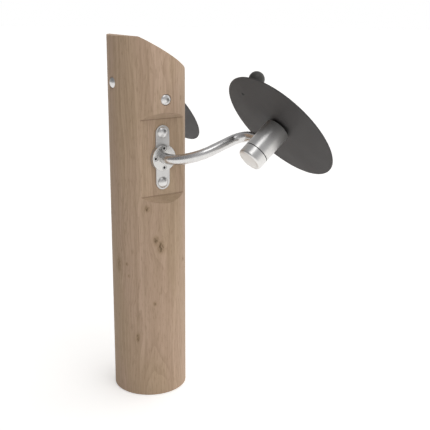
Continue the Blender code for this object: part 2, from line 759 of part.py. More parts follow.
def build_spindle(label, frame, steel):
    """Flanged spindle with its register for the disc, its shoulder and its tapped front end."""
    front = DISC_THICKNESS - SEAT_GAP
    tapped = CENTRE_SCREW_RADIUS + SEAT_GAP
    tapped_floor = clamp_face + SEAT_GAP - CENTRE_SCREW_LENGTH - TAPPED_HOLE_EXTRA
    tail = cap_spigot - LOCK_NUT_THICKNESS - SPINDLE_TAIL
    profile = [
        (tapped, tapped_floor),
        (tapped, front),
        (spindle_radius, front),
        (spindle_radius, -SEAT_GAP),
        (SPINDLE_FLANGE_RADIUS, -SEAT_GAP),
        (SPINDLE_FLANGE_RADIUS, spindle_flange_back),
        (SPINDLE_SHOULDER_RADIUS, spindle_flange_back),
        (SPINDLE_SHOULDER_RADIUS, shoulder_back),
        (spindle_radius, shoulder_back),
        (spindle_radius, tail),
    ]
    bm = bmesh.new()
    add_turned(bm, profile, HUB_SEGMENTS)
    add_piece("spindle_" + label, bm, steel, frame)


def build_spacer(label, frame, steel):
    """Sleeve that holds the two inner rings apart."""
    outer = BEARING_BORE_RADIUS + SPACER_WALL
    profile = [
        (BEARING_BORE_RADIUS, spacer_back),
        (BEARING_BORE_RADIUS, spacer_front),
        (outer, spacer_front),
        (outer, spacer_back),
    ]
    bm = bmesh.new()
    add_turned(bm, profile, HUB_SEGMENTS, closed=True)
    add_piece("bearing_spacer_" + label, bm, steel, frame)


def build_lock_nut(label, frame, steel):
    """Slotted round nut that clamps the inner rings and the spacer to the spindle's shoulder."""
    front = cap_spigot
    back = front - LOCK_NUT_THICKNESS
    profile = [
        (BEARING_BORE_RADIUS, back),
        (BEARING_BORE_RADIUS, front),
        (LOCK_NUT_RADIUS, front),
        (LOCK_NUT_RADIUS, back),
    ]
    bm = bmesh.new()
    add_turned(bm, profile, HUB_SEGMENTS, closed=True)
    nut = add_piece("lock_nut_" + label, bm, steel, frame)

    slots = bmesh.new()
    half = LOCK_NUT_SLOT_WIDTH / 2
    floor = LOCK_NUT_RADIUS - LOCK_NUT_SLOT_DEPTH
    outline = [(floor, -half), (LOCK_NUT_RADIUS + CUT_MARGIN, -half)]
    outline += [(x, half) for x, _ in reversed(outline)]
    for index in range(LOCK_NUT_SLOTS):
        turn = Matrix.Rotation(math.tau * index / LOCK_NUT_SLOTS, 2)
        turned = [turn @ Vector(point) for point in outline]
        add_prism(slots, turned, back - CUT_MARGIN, front + CUT_MARGIN)
    cut(nut, slots, "slots")


# Disc and knob, on the frames that turn


def knob_place(side):
    """Where the knob's axis crosses the disc at rest: uphill of the centre, on the post's side."""
    inward = KNOB_ORBIT * math.sin(KNOB_REST_ANGLE)
    uphill = KNOB_ORBIT * math.cos(KNOB_REST_ANGLE)
    return Matrix.Translation((-inward, side * uphill, 0))


def build_disc(side, label, frame, plastic):
    profile = [
        (BEARING_BORE_RADIUS, 0),
        (BEARING_BORE_RADIUS, DISC_THICKNESS),
        (DISC_RADIUS - DISC_EDGE, DISC_THICKNESS),
        (DISC_RADIUS, DISC_THICKNESS - DISC_EDGE),
        (DISC_RADIUS, DISC_EDGE),
        (DISC_RADIUS - DISC_EDGE, 0),
    ]
    bm = bmesh.new()
    add_turned(bm, profile, DISC_SEGMENTS, closed=True)
    disc = add_piece("disc_" + label, bm, plastic, frame)

    head = KNOB_SCREW_HEAD_RADIUS + SEAT_GAP
    hole = KNOB_SCREW_RADIUS + SEAT_GAP
    cone = KNOB_SCREW_HEAD_RIM + KNOB_SCREW_HEAD_RADIUS - KNOB_SCREW_RADIUS
    profile = [
        (head, -CUT_MARGIN),
        (head, KNOB_SCREW_HEAD_RIM),
        (hole, cone),
        (hole, DISC_THICKNESS + CUT_MARGIN),
    ]
    countersink = bmesh.new()
    add_turned(countersink, profile, SCREW_SEGMENTS, place=knob_place(side))
    cut(disc, countersink, "countersink")


def build_disc_clamp(label, frame, steel):
    """Round plate that clamps the disc from its front."""
    bore = CENTRE_SCREW_RADIUS + SEAT_GAP
    profile = [
        (bore, disc_face),
        (CLAMP_RADIUS, disc_face),
        (CLAMP_RADIUS, clamp_face - CLAMP_EDGE),
        (CLAMP_RADIUS - CLAMP_EDGE, clamp_face),
        (bore, clamp_face),
    ]
    bm = bmesh.new()
    add_turned(bm, profile, HUB_SEGMENTS, closed=True)
    add_piece("disc_clamp_" + label, bm, steel, frame)


def build_centre_screw(label, frame, steel):
    """Button-head screw that draws the clamp plate to the spindle."""
    seat = clamp_face + SEAT_GAP
    top = seat + CENTRE_SCREW_HEAD_HEIGHT
    key = CENTRE_SCREW_KEY / 2
    rings = [
        ring(CENTRE_SCREW_RADIUS, seat - CENTRE_SCREW_LENGTH, SCREW_SEGMENTS),
        ring(CENTRE_SCREW_RADIUS, seat, SCREW_SEGMENTS),
        ring(CENTRE_SCREW_HEAD_RADIUS, seat, SCREW_SEGMENTS),
    ]
    for angle in (CENTRE_SCREW_CROWN_ANGLE / 2, CENTRE_SCREW_CROWN_ANGLE):
        height = seat + CENTRE_SCREW_HEAD_HEIGHT * math.sin(angle) / math.sin(CENTRE_SCREW_CROWN_ANGLE)
        rings.append(ring(CENTRE_SCREW_HEAD_RADIUS * math.cos(angle), height, SCREW_SEGMENTS))
    rings.append(ring(key, top, SCREW_SEGMENTS, 6))
    rings.append(ring(key, top - KEY_DEPTH_SHARE * CENTRE_SCREW_HEAD_HEIGHT, SCREW_SEGMENTS, 6))
    bm = bmesh.new()
    add_loft(bm, rings)
    add_piece("centre_screw_" + label, bm, steel, frame)


def build_knob_stem(label, frame, steel):
    """Turned stem with a foot on the disc, a shoulder under the ball and a pin that the ball turns on."""
    hole = KNOB_SCREW_RADIUS + SEAT_GAP
    shoulder = knob_flat - SEAT_GAP
    profile = [
        (hole, KNOB_SCREW_LENGTH + TAPPED_HOLE_EXTRA),
        (hole, disc_face),
        (STEM_FOOT_RADIUS, disc_face),
        (STEM_FOOT_RADIUS, disc_face + STEM_FOOT_THICKNESS),
        (STEM_RADIUS, disc_face + STEM_FOOT_THICKNESS),
        (STEM_RADIUS, shoulder),
        (STEM_PIN_RADIUS, shoulder),
        (STEM_PIN_RADIUS, snap_start),
        (STEM_SNAP_RADIUS, snap_start),
        (STEM_PIN_RADIUS, stem_top),
    ]
    bm = bmesh.new()
    add_turned(bm, profile, STEM_SEGMENTS)
    add_piece("knob_stem_" + label, bm, steel, frame)


def build_knob_screw(label, frame, steel):
    """Countersunk screw that enters from the disc's back and holds the stem."""
    key = KNOB_SCREW_KEY / 2
    cone = KNOB_SCREW_HEAD_RIM + KNOB_SCREW_HEAD_RADIUS - KNOB_SCREW_RADIUS
    rings = [
        ring(key, KEY_DEPTH_SHARE * cone, SCREW_SEGMENTS, 6),
        ring(key, 0, SCREW_SEGMENTS, 6),
        ring(KNOB_SCREW_HEAD_RADIUS, 0, SCREW_SEGMENTS),
        ring(KNOB_SCREW_HEAD_RADIUS, KNOB_SCREW_HEAD_RIM, SCREW_SEGMENTS),
        ring(KNOB_SCREW_RADIUS, cone, SCREW_SEGMENTS),
        ring(KNOB_SCREW_RADIUS, KNOB_SCREW_LENGTH, SCREW_SEGMENTS),
    ]
    bm = bmesh.new()
    add_loft(bm, rings)
    add_piece("knob_screw_" + label, bm, steel, frame)


def build_knob_ball(label, frame, plastic):
    """Ball with a flat underside and a blind bore that snaps over the stem's pin."""
    bore = STEM_PIN_RADIUS + RUNNING_GAP
    undercut = STEM_SNAP_RADIUS + RUNNING_GAP
    lip = snap_start - RUNNING_GAP
    start = -math.acos(KNOB_FLAT_RADIUS / KNOB_RADIUS)
    profile = [
        (undercut, knob_bore_top),
        (undercut, lip),
        (bore, lip),
        (bore, knob_flat),
    ]
    steps = 2 * CURVE_STEPS
    for step in range(steps + 1):
        angle = start + (KNOB_TOP_ANGLE - start) * step / steps
        height = knob_centre + KNOB_RADIUS * math.sin(angle)
        profile.append((KNOB_RADIUS * math.cos(angle), height))
    bm = bmesh.new()
    add_turned(bm, profile, KNOB_SEGMENTS)
    add_piece("knob_ball_" + label, bm, plastic, frame)


# Assembly


def hub_matrix(side, bracket):
    """Frame of a hub: its origin is the centre of the disc's back, and its Z is the disc's axis."""
    end = arm_stations(side)[0][-1][0] + Vector((0, 0, arm_socket_floor + SEAT_GAP))
    axis = Vector((0, -math.cos(DISC_TILT), math.sin(DISC_TILT)))
    return axes_matrix((side, 0, 0), axis, bracket @ end - axis * arm_seat)


def build_side(side, label, steel, bearing_steel, black_steel, plastic):
    """Bracket, arm, hub, disc and knob of one side; side is -1 for the left and +1 for the right."""
    bracket = axes_matrix((0, side, 0), (side, 0, 0), (0, 0, bracket_z))
    hub = hub_matrix(side, bracket)
    bracket_frame = add_frame("bracket_frame_" + label, bracket)
    hub_frame = add_frame("hub_frame_" + label, hub)
    disc_axis = add_frame("disc_axis_" + label, hub)
    knob_axis = add_frame("knob_axis_" + label, knob_place(side), disc_axis)

    build_plate(side, label, bracket_frame, steel)
    build_flange(side, label, bracket_frame, steel)
    build_flange_screws(side, label, bracket_frame, steel)
    build_arm(side, label, bracket_frame, steel)

    build_housing(label, hub_frame, steel)
    build_cap(label, hub_frame, steel)
    build_retaining_ring(label, hub_frame, bearing_steel)
    for name, front in (("front_bearing", front_bearing), ("rear_bearing", rear_bearing)):
        build_bearing(name, label, front, hub_frame, disc_axis, bearing_steel)
    build_spindle(label, disc_axis, black_steel)
    build_spacer(label, disc_axis, bearing_steel)
    build_lock_nut(label, disc_axis, bearing_steel)

    build_disc(side, label, disc_axis, plastic)
    build_disc_clamp(label, disc_axis, steel)
    build_centre_screw(label, disc_axis, steel)
    build_knob_stem(label, knob_axis, steel)
    build_knob_screw(label, knob_axis, black_steel)
    build_knob_ball(label, knob_axis, plastic)


def main():
    for old in list(bpy.data.objects):
        bpy.data.objects.remove(old, do_unlink=True)
    wood = make_material("pale_oak", (0.38, 0.29, 0.20), 0.65, 0.0)
    steel = make_material("brushed_stainless_steel", (0.66, 0.66, 0.65), 0.32, 1.0)
    bearing_steel = make_material("bearing_steel", (0.50, 0.50, 0.50), 0.25, 1.0)
    black_steel = make_material("black_oxide_steel", (0.030, 0.029, 0.028), 0.40, 1.0)
    plastic = make_material("dark_grey_plastic", (0.075, 0.073, 0.070), 0.55, 0.0)

    build_post(wood)
    for name, height in clamp_bolt_heights():
        build_bolt(name + "_clamp", (-1, 0, 0), bolt_seat, height, steel)
    tie_seat = spot_face + SEAT_GAP
    build_bolt("side_tie", (-1, 0, 0), tie_seat, side_tie_z, steel)
    build_bolt("front_tie", (0, 1, 0), tie_seat, front_tie_z, steel)
    for side, label in ((-1, "left"), (1, "right")):
        build_side(side, label, steel, bearing_steel, black_steel, plastic)


main()
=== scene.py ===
# %% [markdown]
# # A tai chi spinner, dressed for its portrait
#
# This is an outdoor exercise post: a round wooden post with a slanting top, and on each side a bent steel
# arm that carries a hub and a tilted disc. The user stands in front, holds a ball knob in each hand and
# turns the discs. The solids come from a CAD model, whose places can't be changed here. This lesson makes
# the fine surface over them: round edges, real fasteners, wood grain, brushed steel and moulded plastic.
#
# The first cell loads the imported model. Every piece made below stands for one or more of its nodes and
# rides on one of its bodies, so that the joints still turn it.

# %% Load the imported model
import math

import bmesh
import bpy
from mathutils import Matrix, Vector


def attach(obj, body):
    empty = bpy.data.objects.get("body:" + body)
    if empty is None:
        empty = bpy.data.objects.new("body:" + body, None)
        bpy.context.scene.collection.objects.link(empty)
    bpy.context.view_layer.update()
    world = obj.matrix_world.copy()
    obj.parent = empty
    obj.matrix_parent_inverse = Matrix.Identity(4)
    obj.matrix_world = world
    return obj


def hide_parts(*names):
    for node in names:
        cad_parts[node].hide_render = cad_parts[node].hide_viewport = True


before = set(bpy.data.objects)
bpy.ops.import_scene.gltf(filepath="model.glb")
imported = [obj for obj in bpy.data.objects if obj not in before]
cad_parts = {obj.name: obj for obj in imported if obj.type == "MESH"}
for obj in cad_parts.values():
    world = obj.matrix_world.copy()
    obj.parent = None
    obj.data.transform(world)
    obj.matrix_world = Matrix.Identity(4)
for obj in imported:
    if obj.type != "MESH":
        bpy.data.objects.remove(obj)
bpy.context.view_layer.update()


# %% A helper that links objects
def linked(name, data):
    """A new object for a mesh, a lamp or a camera, linked into the scene."""
    item = bpy.data.objects.new(name, data)
    bpy.context.scene.collection.objects.link(item)
    return item

# %% [markdown]
# ## Camera
#
# The photograph was taken from behind the post, a little to the left and slightly above. The camera's place
# was worked out from the outlines of the post and the disc. A forward direction and a small roll are easier
# to read than a rotation, so the camera's axes are built from those two.

# %% The photographer's camera
IMAGE_WIDTH_PX = 430
FOCAL_PX = 801.3
SENSOR_MM = 36.0
CAMERA_PLACE = Vector((-2.2966, 1.2877, 1.3413))
CAMERA_FORWARD = Vector((0.79673, -0.54178, -0.26775)).normalized()
CAMERA_ROLL = math.radians(0.485)
UP = Vector((0, 0, 1))

level_right = CAMERA_FORWARD.cross(UP).normalized()
level_up = level_right.cross(CAMERA_FORWARD)
camera_right = level_right * math.cos(CAMERA_ROLL) + level_up * math.sin(CAMERA_ROLL)
camera_up = camera_right.cross(CAMERA_FORWARD)
camera_axes = Matrix((camera_right, camera_up, -CAMERA_FORWARD)).transposed().to_4x4()

camera = linked("camera", bpy.data.cameras.new("camera"))
camera.data.sensor_width = SENSOR_MM
camera.data.lens = FOCAL_PX / IMAGE_WIDTH_PX * SENSOR_MM
camera.matrix_world = Matrix.Translation(CAMERA_PLACE) @ camera_axes
bpy.context.scene.camera = camera
bpy.context.scene.view_settings.view_transform = "Standard"
print("lens:", round(camera.data.lens, 2), "mm")

# %% [markdown]
# ## Studio
#
# The object was lit like a catalogue picture: light from all around, more of it from the right, and a pure
# white ground. The world gives this light, and its strength grows towards the bright side. Glossy and
# transmission rays see a room instead: a grey ceiling and walls that grow lighter to the horizon and to the
# front. The steel gets its dark bands from that. One softbox hangs high up between the camera and the post,
# and is the bright patch that the domes and the hub show. The floor is a pale disc, lifted to white for
# these rays and the camera's. It keeps the soft shadow of the post.


# %% Node helper for trees of every kind
def add_node(tree, kind, inputs=None, **settings):
    """Adds a node, sets its options, and fills its inputs with values or with other nodes' outputs."""
    node = tree.nodes.new(kind)
    for option, value in settings.items():
        setattr(node, option, value)
    for key, value in (inputs or {}).items():
        if isinstance(value, bpy.types.NodeSocket):
            tree.links.new(value, node.inputs[key])
        else:
            node.inputs[key].default_value = value
    return node


# %% World
SKY_COLOUR = (1.0, 0.985, 0.965, 1.0)
SKY_ON_BRIGHT_SIDE = 1.32
SKY_ON_DARK_SIDE = 0.20
BRIGHT_SIDE = (-0.485, -0.875, 0.0)
WHITE = (1.0, 1.0, 1.0, 1.0)
ROOM_CEILING = (0.47, 0.47, 0.48, 1.0)
ROOM_CEILING_FROM = 0.45
ROOM_HORIZON = (0.64, 0.64, 0.64, 1.0)
ROOM_FRONT = (0.92, 0.92, 0.92, 1.0)
ROOM_FRONT_SPAN = (-0.90, -0.40)
ROOM_ON_DARK_SIDE = 0.50
ROOM_SHADE_SPAN = (-0.9, -0.1)

world = bpy.data.worlds.new("studio")
bpy.context.scene.world = world
world.use_nodes = True
sky = world.node_tree
sky.nodes.clear()
rays = add_node(sky, "ShaderNodeLightPath").outputs
direction = add_node(sky, "ShaderNodeTexCoord").outputs["Generated"]


def sky_ramp(value, low, high, at_low, at_high):
    """A smooth change of a number from one direction to another."""
    inputs = {"Value": value, "From Min": low, "From Max": high, "To Min": at_low, "To Max": at_high}
    return add_node(sky, "ShaderNodeMapRange", inputs, interpolation_type="SMOOTHSTEP").outputs[0]


def sky_mix(share, first, second):
    """A mix of two colours of the room."""
    return add_node(sky, "ShaderNodeMix", {0: share, 6: first, 7: second}, data_type="RGBA").outputs[2]


def sky_light(colour, strength):
    """A light that the sky gives."""
    return add_node(sky, "ShaderNodeBackground", {"Color": colour, "Strength": strength}).outputs[0]


def in_reflections(tree, ray_kinds):
    """1 for glossy and transmission rays, 0 for all others."""
    either = {0: ray_kinds["Is Glossy Ray"], 1: ray_kinds["Is Transmission Ray"]}
    return add_node(tree, "ShaderNodeMath", either, operation="MAXIMUM").outputs[0]


to_light = {0: direction, 1: BRIGHT_SIDE}
to_bright_side = add_node(sky, "ShaderNodeVectorMath", to_light, operation="DOT_PRODUCT").outputs["Value"]
seen_towards = add_node(sky, "ShaderNodeSeparateXYZ", {0: direction}).outputs
at_horizon = sky_ramp(seen_towards["Z"], 0.0, ROOM_CEILING_FROM, 1.0, 0.0)
at_front = sky_ramp(seen_towards["Y"], *ROOM_FRONT_SPAN, 1.0, 0.0)
room = sky_mix(at_front, sky_mix(at_horizon, ROOM_CEILING, ROOM_HORIZON), ROOM_FRONT)
light = sky_light(SKY_COLOUR, sky_ramp(to_bright_side, -1.0, 1.0, SKY_ON_DARK_SIDE, SKY_ON_BRIGHT_SIDE))
reflected = sky_light(room, sky_ramp(to_bright_side, *ROOM_SHADE_SPAN, ROOM_ON_DARK_SIDE, 1.0))
seen = sky_light(WHITE, 1.0)
lit = add_node(sky, "ShaderNodeMixShader", {0: in_reflections(sky, rays), 1: light, 2: reflected})
shown = add_node(sky, "ShaderNodeMixShader", {0: rays["Is Camera Ray"], 1: lit.outputs[0], 2: seen})
add_node(sky, "ShaderNodeOutputWorld", {"Surface": shown.outputs[0]})
print("world nodes:", len(sky.nodes))


# %% Lamp
SOFTBOX_PLACE = (-1.37, 0.10, 3.46)
SOFTBOX_SIZE = 1.5
SOFTBOX_POWER = 11.0
OBJECT_MIDDLE = (-0.1, -0.1, 0.75)


def add_lamp(name, place, aim, size, power):
    """A square area lamp at a place, aimed at a point."""
    lamp = linked(name, bpy.data.lights.new(name, "AREA"))
    lamp.data.shape = "SQUARE"
    lamp.data.size = size
    lamp.data.energy = power
    lamp.location = place
    lamp.rotation_euler = (Vector(aim) - Vector(place)).to_track_quat("-Z", "Y").to_euler()
    return lamp


softbox = add_lamp("softbox_above_camera", SOFTBOX_PLACE, OBJECT_MIDDLE, SOFTBOX_SIZE, SOFTBOX_POWER)
print("lamps:", softbox.name)

# %% Floor
FLOOR_RADIUS = 30.0
FLOOR_SIDES = 96
FLOOR_DROP = 0.0005
FLOOR_COLOUR = (0.95, 0.95, 0.95, 1.0)
FLOOR_ROUGHNESS = 0.9
FLOOR_LIFT = 0.36

ground = bmesh.new()
bmesh.ops.create_circle(ground, cap_ends=True, segments=FLOOR_SIDES, radius=FLOOR_RADIUS)
floor_mesh = bpy.data.meshes.new("studio_floor")
ground.to_mesh(floor_mesh)
ground.free()
floor = linked("studio_floor", floor_mesh)
floor.location.z = -FLOOR_DROP
floor_finish = bpy.data.materials.new("white_studio_floor")
floor_finish.use_nodes = True
floor_tree = floor_finish.node_tree
floor_shader = floor_tree.nodes["Principled BSDF"].inputs
floor_shader["Base Color"].default_value = FLOOR_COLOUR
floor_shader["Roughness"].default_value = FLOOR_ROUGHNESS
floor_shader["Emission Color"].default_value = WHITE
floor_rays = add_node(floor_tree, "ShaderNodeLightPath").outputs
either = {0: floor_rays["Is Camera Ray"], 1: in_reflections(floor_tree, floor_rays)}
plainly_seen = add_node(floor_tree, "ShaderNodeMath", either, operation="MAXIMUM").outputs[0]
lift = add_node(floor_tree, "ShaderNodeMath", {0: plainly_seen, 1: FLOOR_LIFT}, operation="MULTIPLY")
floor_tree.links.new(lift.outputs[0], floor_shader["Emission Strength"])
floor_mesh.materials.append(floor_finish)
print("floor radius:", FLOOR_RADIUS, "m")

# %% [markdown]
# ## Frames and shapes
#
# A bracket and a hub are easiest to draw standing upright on their own axis. Each side therefore has two
# frames: the bracket's, whose Z leaves the post's axis, and the hub's, whose Z starts at the disc's back
# and runs out through its front. A piece is made round its own Z, and its mesh is then moved into place, so
# that the finished object stays at the origin. The sizes repeat the CAD source in metres.

# %% Sizes of the post, the plates and the arms
POST_RADIUS = 0.125
POST_HEIGHT = 1.210
SLOPE_ANGLE = math.radians(30)
SLOPE_RIDGE_Y = 0.080
FLAT_FROM_AXIS = 0.096
FLAT_LENGTH = 0.250
FLAT_RUNOUT_ANGLE = math.radians(38)
BRACKET_Z = 0.8265
SEAT_GAP = 0.0003
PLATE_WIDTH = 0.050
PLATE_THICKNESS = 0.005
PLATE_BOLT_SPACING = 0.1635
PLATE_END_MARGIN = 0.0235
PLATE_BOSS_RADIUS = 0.043
PLATE_FILLET = 0.008
PLATE_BACK = FLAT_FROM_AXIS + SEAT_GAP
PLATE_FACE = PLATE_BACK + PLATE_THICKNESS
BOLT_SEAT = PLATE_FACE + SEAT_GAP
FLANGE_BACK = PLATE_FACE + SEAT_GAP
FLANGE_SOCKET_FLOOR = 0.003
TUBE_RADIUS = 0.01685
TUBE_WALL = 0.0026
TUBE_LEAD = 0.0184
INNER_BEND_RADIUS = 0.113
TUBE_MIDDLE = 0.079
OUTER_BEND_RADIUS = 0.048
TUBE_REACH = 0.0477
BEND_ANGLE = math.radians(85)
ARM_RISE = math.radians(19.5)
HUB_RADIUS = 0.041
ARM_SOCKET_DEPTH = 0.009
ARM_SOCKET_FLOOR = HUB_RADIUS - ARM_SOCKET_DEPTH
ARM_SEAT = -0.0603
DISC_TILT = math.radians(39)
SIDES = (("left", -1), ("right", 1))


# %% Frames of the brackets and the hubs
def axes_matrix(x_axis, z_axis, origin):
    """Matrix whose X and Z point along two square directions."""
    x_axis = Vector(x_axis)
    z_axis = Vector(z_axis)
    columns = Matrix((x_axis, z_axis.cross(x_axis), z_axis)).transposed()
    return Matrix.Translation(origin) @ columns.to_4x4()


def arm_corners(side):
    """The arm's two ends and the two corners that its bends cut, in the bracket's frame."""
    outward = Vector((0, 0, 1))
    towards = Vector((-side * math.cos(ARM_RISE), math.sin(ARM_RISE), 0))
    along = outward * math.cos(BEND_ANGLE) + towards * math.sin(BEND_ANGLE)
    inner_cut = INNER_BEND_RADIUS * math.tan(BEND_ANGLE / 2)
    outer_cut = OUTER_BEND_RADIUS * math.tan(BEND_ANGLE / 2)
    start = outward * (FLANGE_BACK + FLANGE_SOCKET_FLOOR + SEAT_GAP)
    inner_corner = start + outward * (TUBE_LEAD + inner_cut)
    outer_corner = inner_corner + along * (inner_cut + TUBE_MIDDLE + outer_cut)
    end = outer_corner + outward * (outer_cut + TUBE_REACH)
    return start, inner_corner, outer_corner, end


def hub_frame(side, bracket):
    """The hub's frame: its origin is the centre of the disc's back."""
    end = arm_corners(side)[3] + Vector((0, 0, ARM_SOCKET_FLOOR + SEAT_GAP))
    axis = Vector((0, -math.cos(DISC_TILT), math.sin(DISC_TILT)))
    return axes_matrix((side, 0, 0), axis, bracket @ end - axis * ARM_SEAT)


BRACKETS = {label: axes_matrix((0, side, 0), (side, 0, 0), (0, 0, BRACKET_Z)) for label, side in SIDES}
HUBS = {label: hub_frame(side, BRACKETS[label]) for label, side in SIDES}
for label, hub in HUBS.items():
    print(label, "disc centre:", [round(value, 4) for value in hub.translation])

# %% [markdown]
# ## Shape helpers
#
# Most of this object was turned on a lathe, bent from tube or cut from plate. So there are three ways to
# draw a shape: a profile turned about Z, a row of rings skinned one to the next, and a flat outline with a
# thickness. Real edges are never knife-sharp. The profile's corners are rounded before turning, and cut
# plates get a Bevel.

# %% Profiles, rings and outlines
ROUND_STEPS = 4
SOFT_ABOVE = math.radians(18)
SIDE_SHARE = 0.45
TINY = 0.000001


def soften(profile, radius):
    """Rounds the corners of a (radius, z) profile, apart from its two ends on the axis."""
    points = [Vector(point) for point in profile]
    on_axis = points[0].x < TINY
    softened = []
    for index, corner in enumerate(points):
        before = points[index - 1] - corner
        after = points[(index + 1) % len(points)] - corner
        turn = math.pi - before.angle(after)
        if turn < SOFT_ABOVE or (on_axis and index in (0, len(points) - 1)):
            softened.append(corner)
            continue
        reach = min(radius * math.tan(turn / 2), SIDE_SHARE * before.length, SIDE_SHARE * after.length)
        start = corner + before.normalized() * reach
        end = corner + after.normalized() * reach
        for step in range(ROUND_STEPS + 1):
            share = step / ROUND_STEPS
            softened.append(start * (1 - share) ** 2 + corner * 2 * share * (1 - share) + end * share**2)
    return softened


def turned(profile, segments=96):
    """Turns a (radius, z) profile about Z. It is a closed loop, or starts and ends on the axis."""
    bm = bmesh.new()
    rings = []
    for radius, z in profile:
        if radius < TINY:
            rings.append([bm.verts.new((0, 0, z))])
            continue
        angles = [math.tau * step / segments for step in range(segments)]
        rings.append([bm.verts.new((radius * math.cos(a), radius * math.sin(a), z)) for a in angles])
    pairs = list(zip(rings, rings[1:]))
    if len(rings[0]) > 1:
        pairs.append((rings[-1], rings[0]))
    for lower, upper in pairs:
        for step in range(segments):
            corners = [lower[step % len(lower)], lower[(step + 1) % segments % len(lower)]]
            corners += [upper[(step + 1) % segments % len(upper)], upper[step % len(upper)]]
            bm.faces.new(list(dict.fromkeys(corners)))
    return bm


def ring(radius, z, count, sides=0, corner=0.0, cap=1.0):
    """Points round Z on a circle or a regular polygon, cut off where they pass the cap radius."""
    points = []
    for step in range(count):
        angle = math.tau * step / count
        reach = radius
        if sides:
            pitch = math.tau / sides
            reach = min(cap, radius / math.cos((angle - corner) % pitch - pitch / 2))
        points.append(Vector((reach * math.cos(angle), reach * math.sin(angle), z)))
    return points


def skinned(rings):
    """Skins a row of rings, with a flat cap at each end."""
    bm = bmesh.new()
    loops = [[bm.verts.new(point) for point in points] for points in rings]
    bm.faces.new(loops[0])
    bm.faces.new(loops[-1])
    for lower, upper in zip(loops, loops[1:]):
        for index, vert in enumerate(lower):
            after = (index + 1) % len(lower)
            bm.faces.new((vert, lower[after], upper[after], upper[index]))
    return bm


def arc(centre, radius, start, end, steps):
    """Points of a flat arc, both ends included, as (x, y)."""
    angles = [start + (end - start) * step / steps for step in range(steps + 1)]
    return [(centre[0] + radius * math.cos(a), centre[1] + radius * math.sin(a)) for a in angles]


def slab(outline, bottom, top):
    """A flat outline with a thickness."""
    bm = bmesh.new()
    face = bm.faces.new([bm.verts.new((x, y, bottom)) for x, y in outline])
    raised = bmesh.ops.extrude_face_region(bm, geom=[face])["geom"]
    verts = [item for item in raised if isinstance(item, bmesh.types.BMVert)]
    bmesh.ops.translate(bm, verts=verts, vec=(0, 0, top - bottom))
    return bm


def block(low, high):
    """A box between two corners."""
    outline = [(low[0], low[1]), (high[0], low[1]), (high[0], high[1]), (low[0], high[1])]
    return slab(outline, low[2], high[2])


# %% [markdown]
# ## From a shape to a finished piece
#
# A working object carries the shape while modifiers cut and bevel it. `settle` then freezes the result,
# writes each point's own upright place into an attribute called `own`, which the finishes use to lay their
# brushing round the axis, and moves the mesh to its real place. Points that a cut or a bevel left doubled
# are merged on the way. Weighted normals keep flat and round faces clean beside their small edges.

# %% Workshop helpers
SHARP_ABOVE = math.radians(40)
BEVEL_ABOVE = math.radians(35)
MERGE_WITHIN = 0.00002
CUT_PAST = 0.01


def work_object(bm, name="work"):
    """A temporary object for a shape, with its faces turned outwards."""
    bmesh.ops.recalc_face_normals(bm, faces=bm.faces)
    mesh = bpy.data.meshes.new(name)
    bm.to_mesh(mesh)
    bm.free()
    return linked(name, mesh)


def frozen(work):
    """The mesh that an object has after its modifiers. The object is removed."""
    depsgraph = bpy.context.evaluated_depsgraph_get()
    mesh = bpy.data.meshes.new_from_object(work.evaluated_get(depsgraph))
    bpy.data.objects.remove(work)
    return mesh


def reworked(mesh):
    """A new working object for a mesh, without the doubled points and slivers that cuts and bevels leave."""
    bm = bmesh.new()
    bm.from_mesh(mesh)
    bmesh.ops.remove_doubles(bm, verts=bm.verts, dist=MERGE_WITHIN)
    bmesh.ops.dissolve_degenerate(bm, edges=bm.edges, dist=MERGE_WITHIN)
    bm.to_mesh(mesh)
    bm.free()
    return linked("work", mesh)


def carve(work, cutters):
    """Cuts a list of shapes out of a working object and returns the new working object."""
    helpers = [work_object(bm, "cutter") for bm in cutters]
    for helper in helpers:
        cut = work.modifiers.new("cut", "BOOLEAN")
        cut.operation = "DIFFERENCE"
        cut.solver = "EXACT"
        cut.object = helper
    mesh = frozen(work)
    for helper in helpers:
        bpy.data.objects.remove(helper)
    return reworked(mesh)


def round_edges(work, width, steps=3):
    """Bevels every edge that is sharper than the limit."""
    bevel = work.modifiers.new("round_edges", "BEVEL")
    bevel.width = width
    bevel.segments = steps
    bevel.limit_method = "ANGLE"
    bevel.angle_limit = BEVEL_ABOVE
    return work


def creased(work):
    """Marks the edges that stay sharp when the faces are shaded smooth."""
    work.data.set_sharp_from_angle(angle=SHARP_ABOVE)
    return work


def blank_mesh(work):
    """Freezes a working object into a clean, smooth mesh that keeps each point's own place."""
    work = reworked(frozen(work))
    work.data.shade_smooth()
    even = work.modifiers.new("even_normals", "WEIGHTED_NORMAL")
    even.keep_sharp = True
    even.weight = 100
    mesh = frozen(work)
    places = [value for vert in mesh.vertices for value in vert.co]
    mesh.attributes.new("own", "FLOAT_VECTOR", "POINT").data.foreach_set("vector", places)
    return mesh


def seat(mesh, name, place, finish, body, nodes):
    """Moves a mesh to its place and makes it a piece that rides on a body and stands for CAD nodes."""
    mesh.transform(place)
    mesh.name = name
    mesh.materials.clear()
    mesh.materials.append(finish)
    piece = linked(name, mesh)
    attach(piece, body)
    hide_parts(*nodes)
    print(name, "has", len(mesh.polygons), "faces")
    return piece


def settle(work, name, place, finish, slot, body, *nodes):
    """Freezes a working object and seats it."""
    return seat(blank_mesh(work), name, place, finish, body, nodes)


# %% [markdown]
# ## Finishes
#
# A small class keeps the material code short: each call adds one node and hands back the output that the
# next call needs. Colours are written as they look on a screen and turned to the linear values that a
# shader wants.


# %% A short way to write a finish
def seen_colour(red, green, blue):
    """A colour from 0 to 255 as seen on a screen, in a shader's linear values."""
    linear = [((value / 255 + 0.055) / 1.055) ** 2.4 for value in (red, green, blue)]
    return (*linear, 1.0)


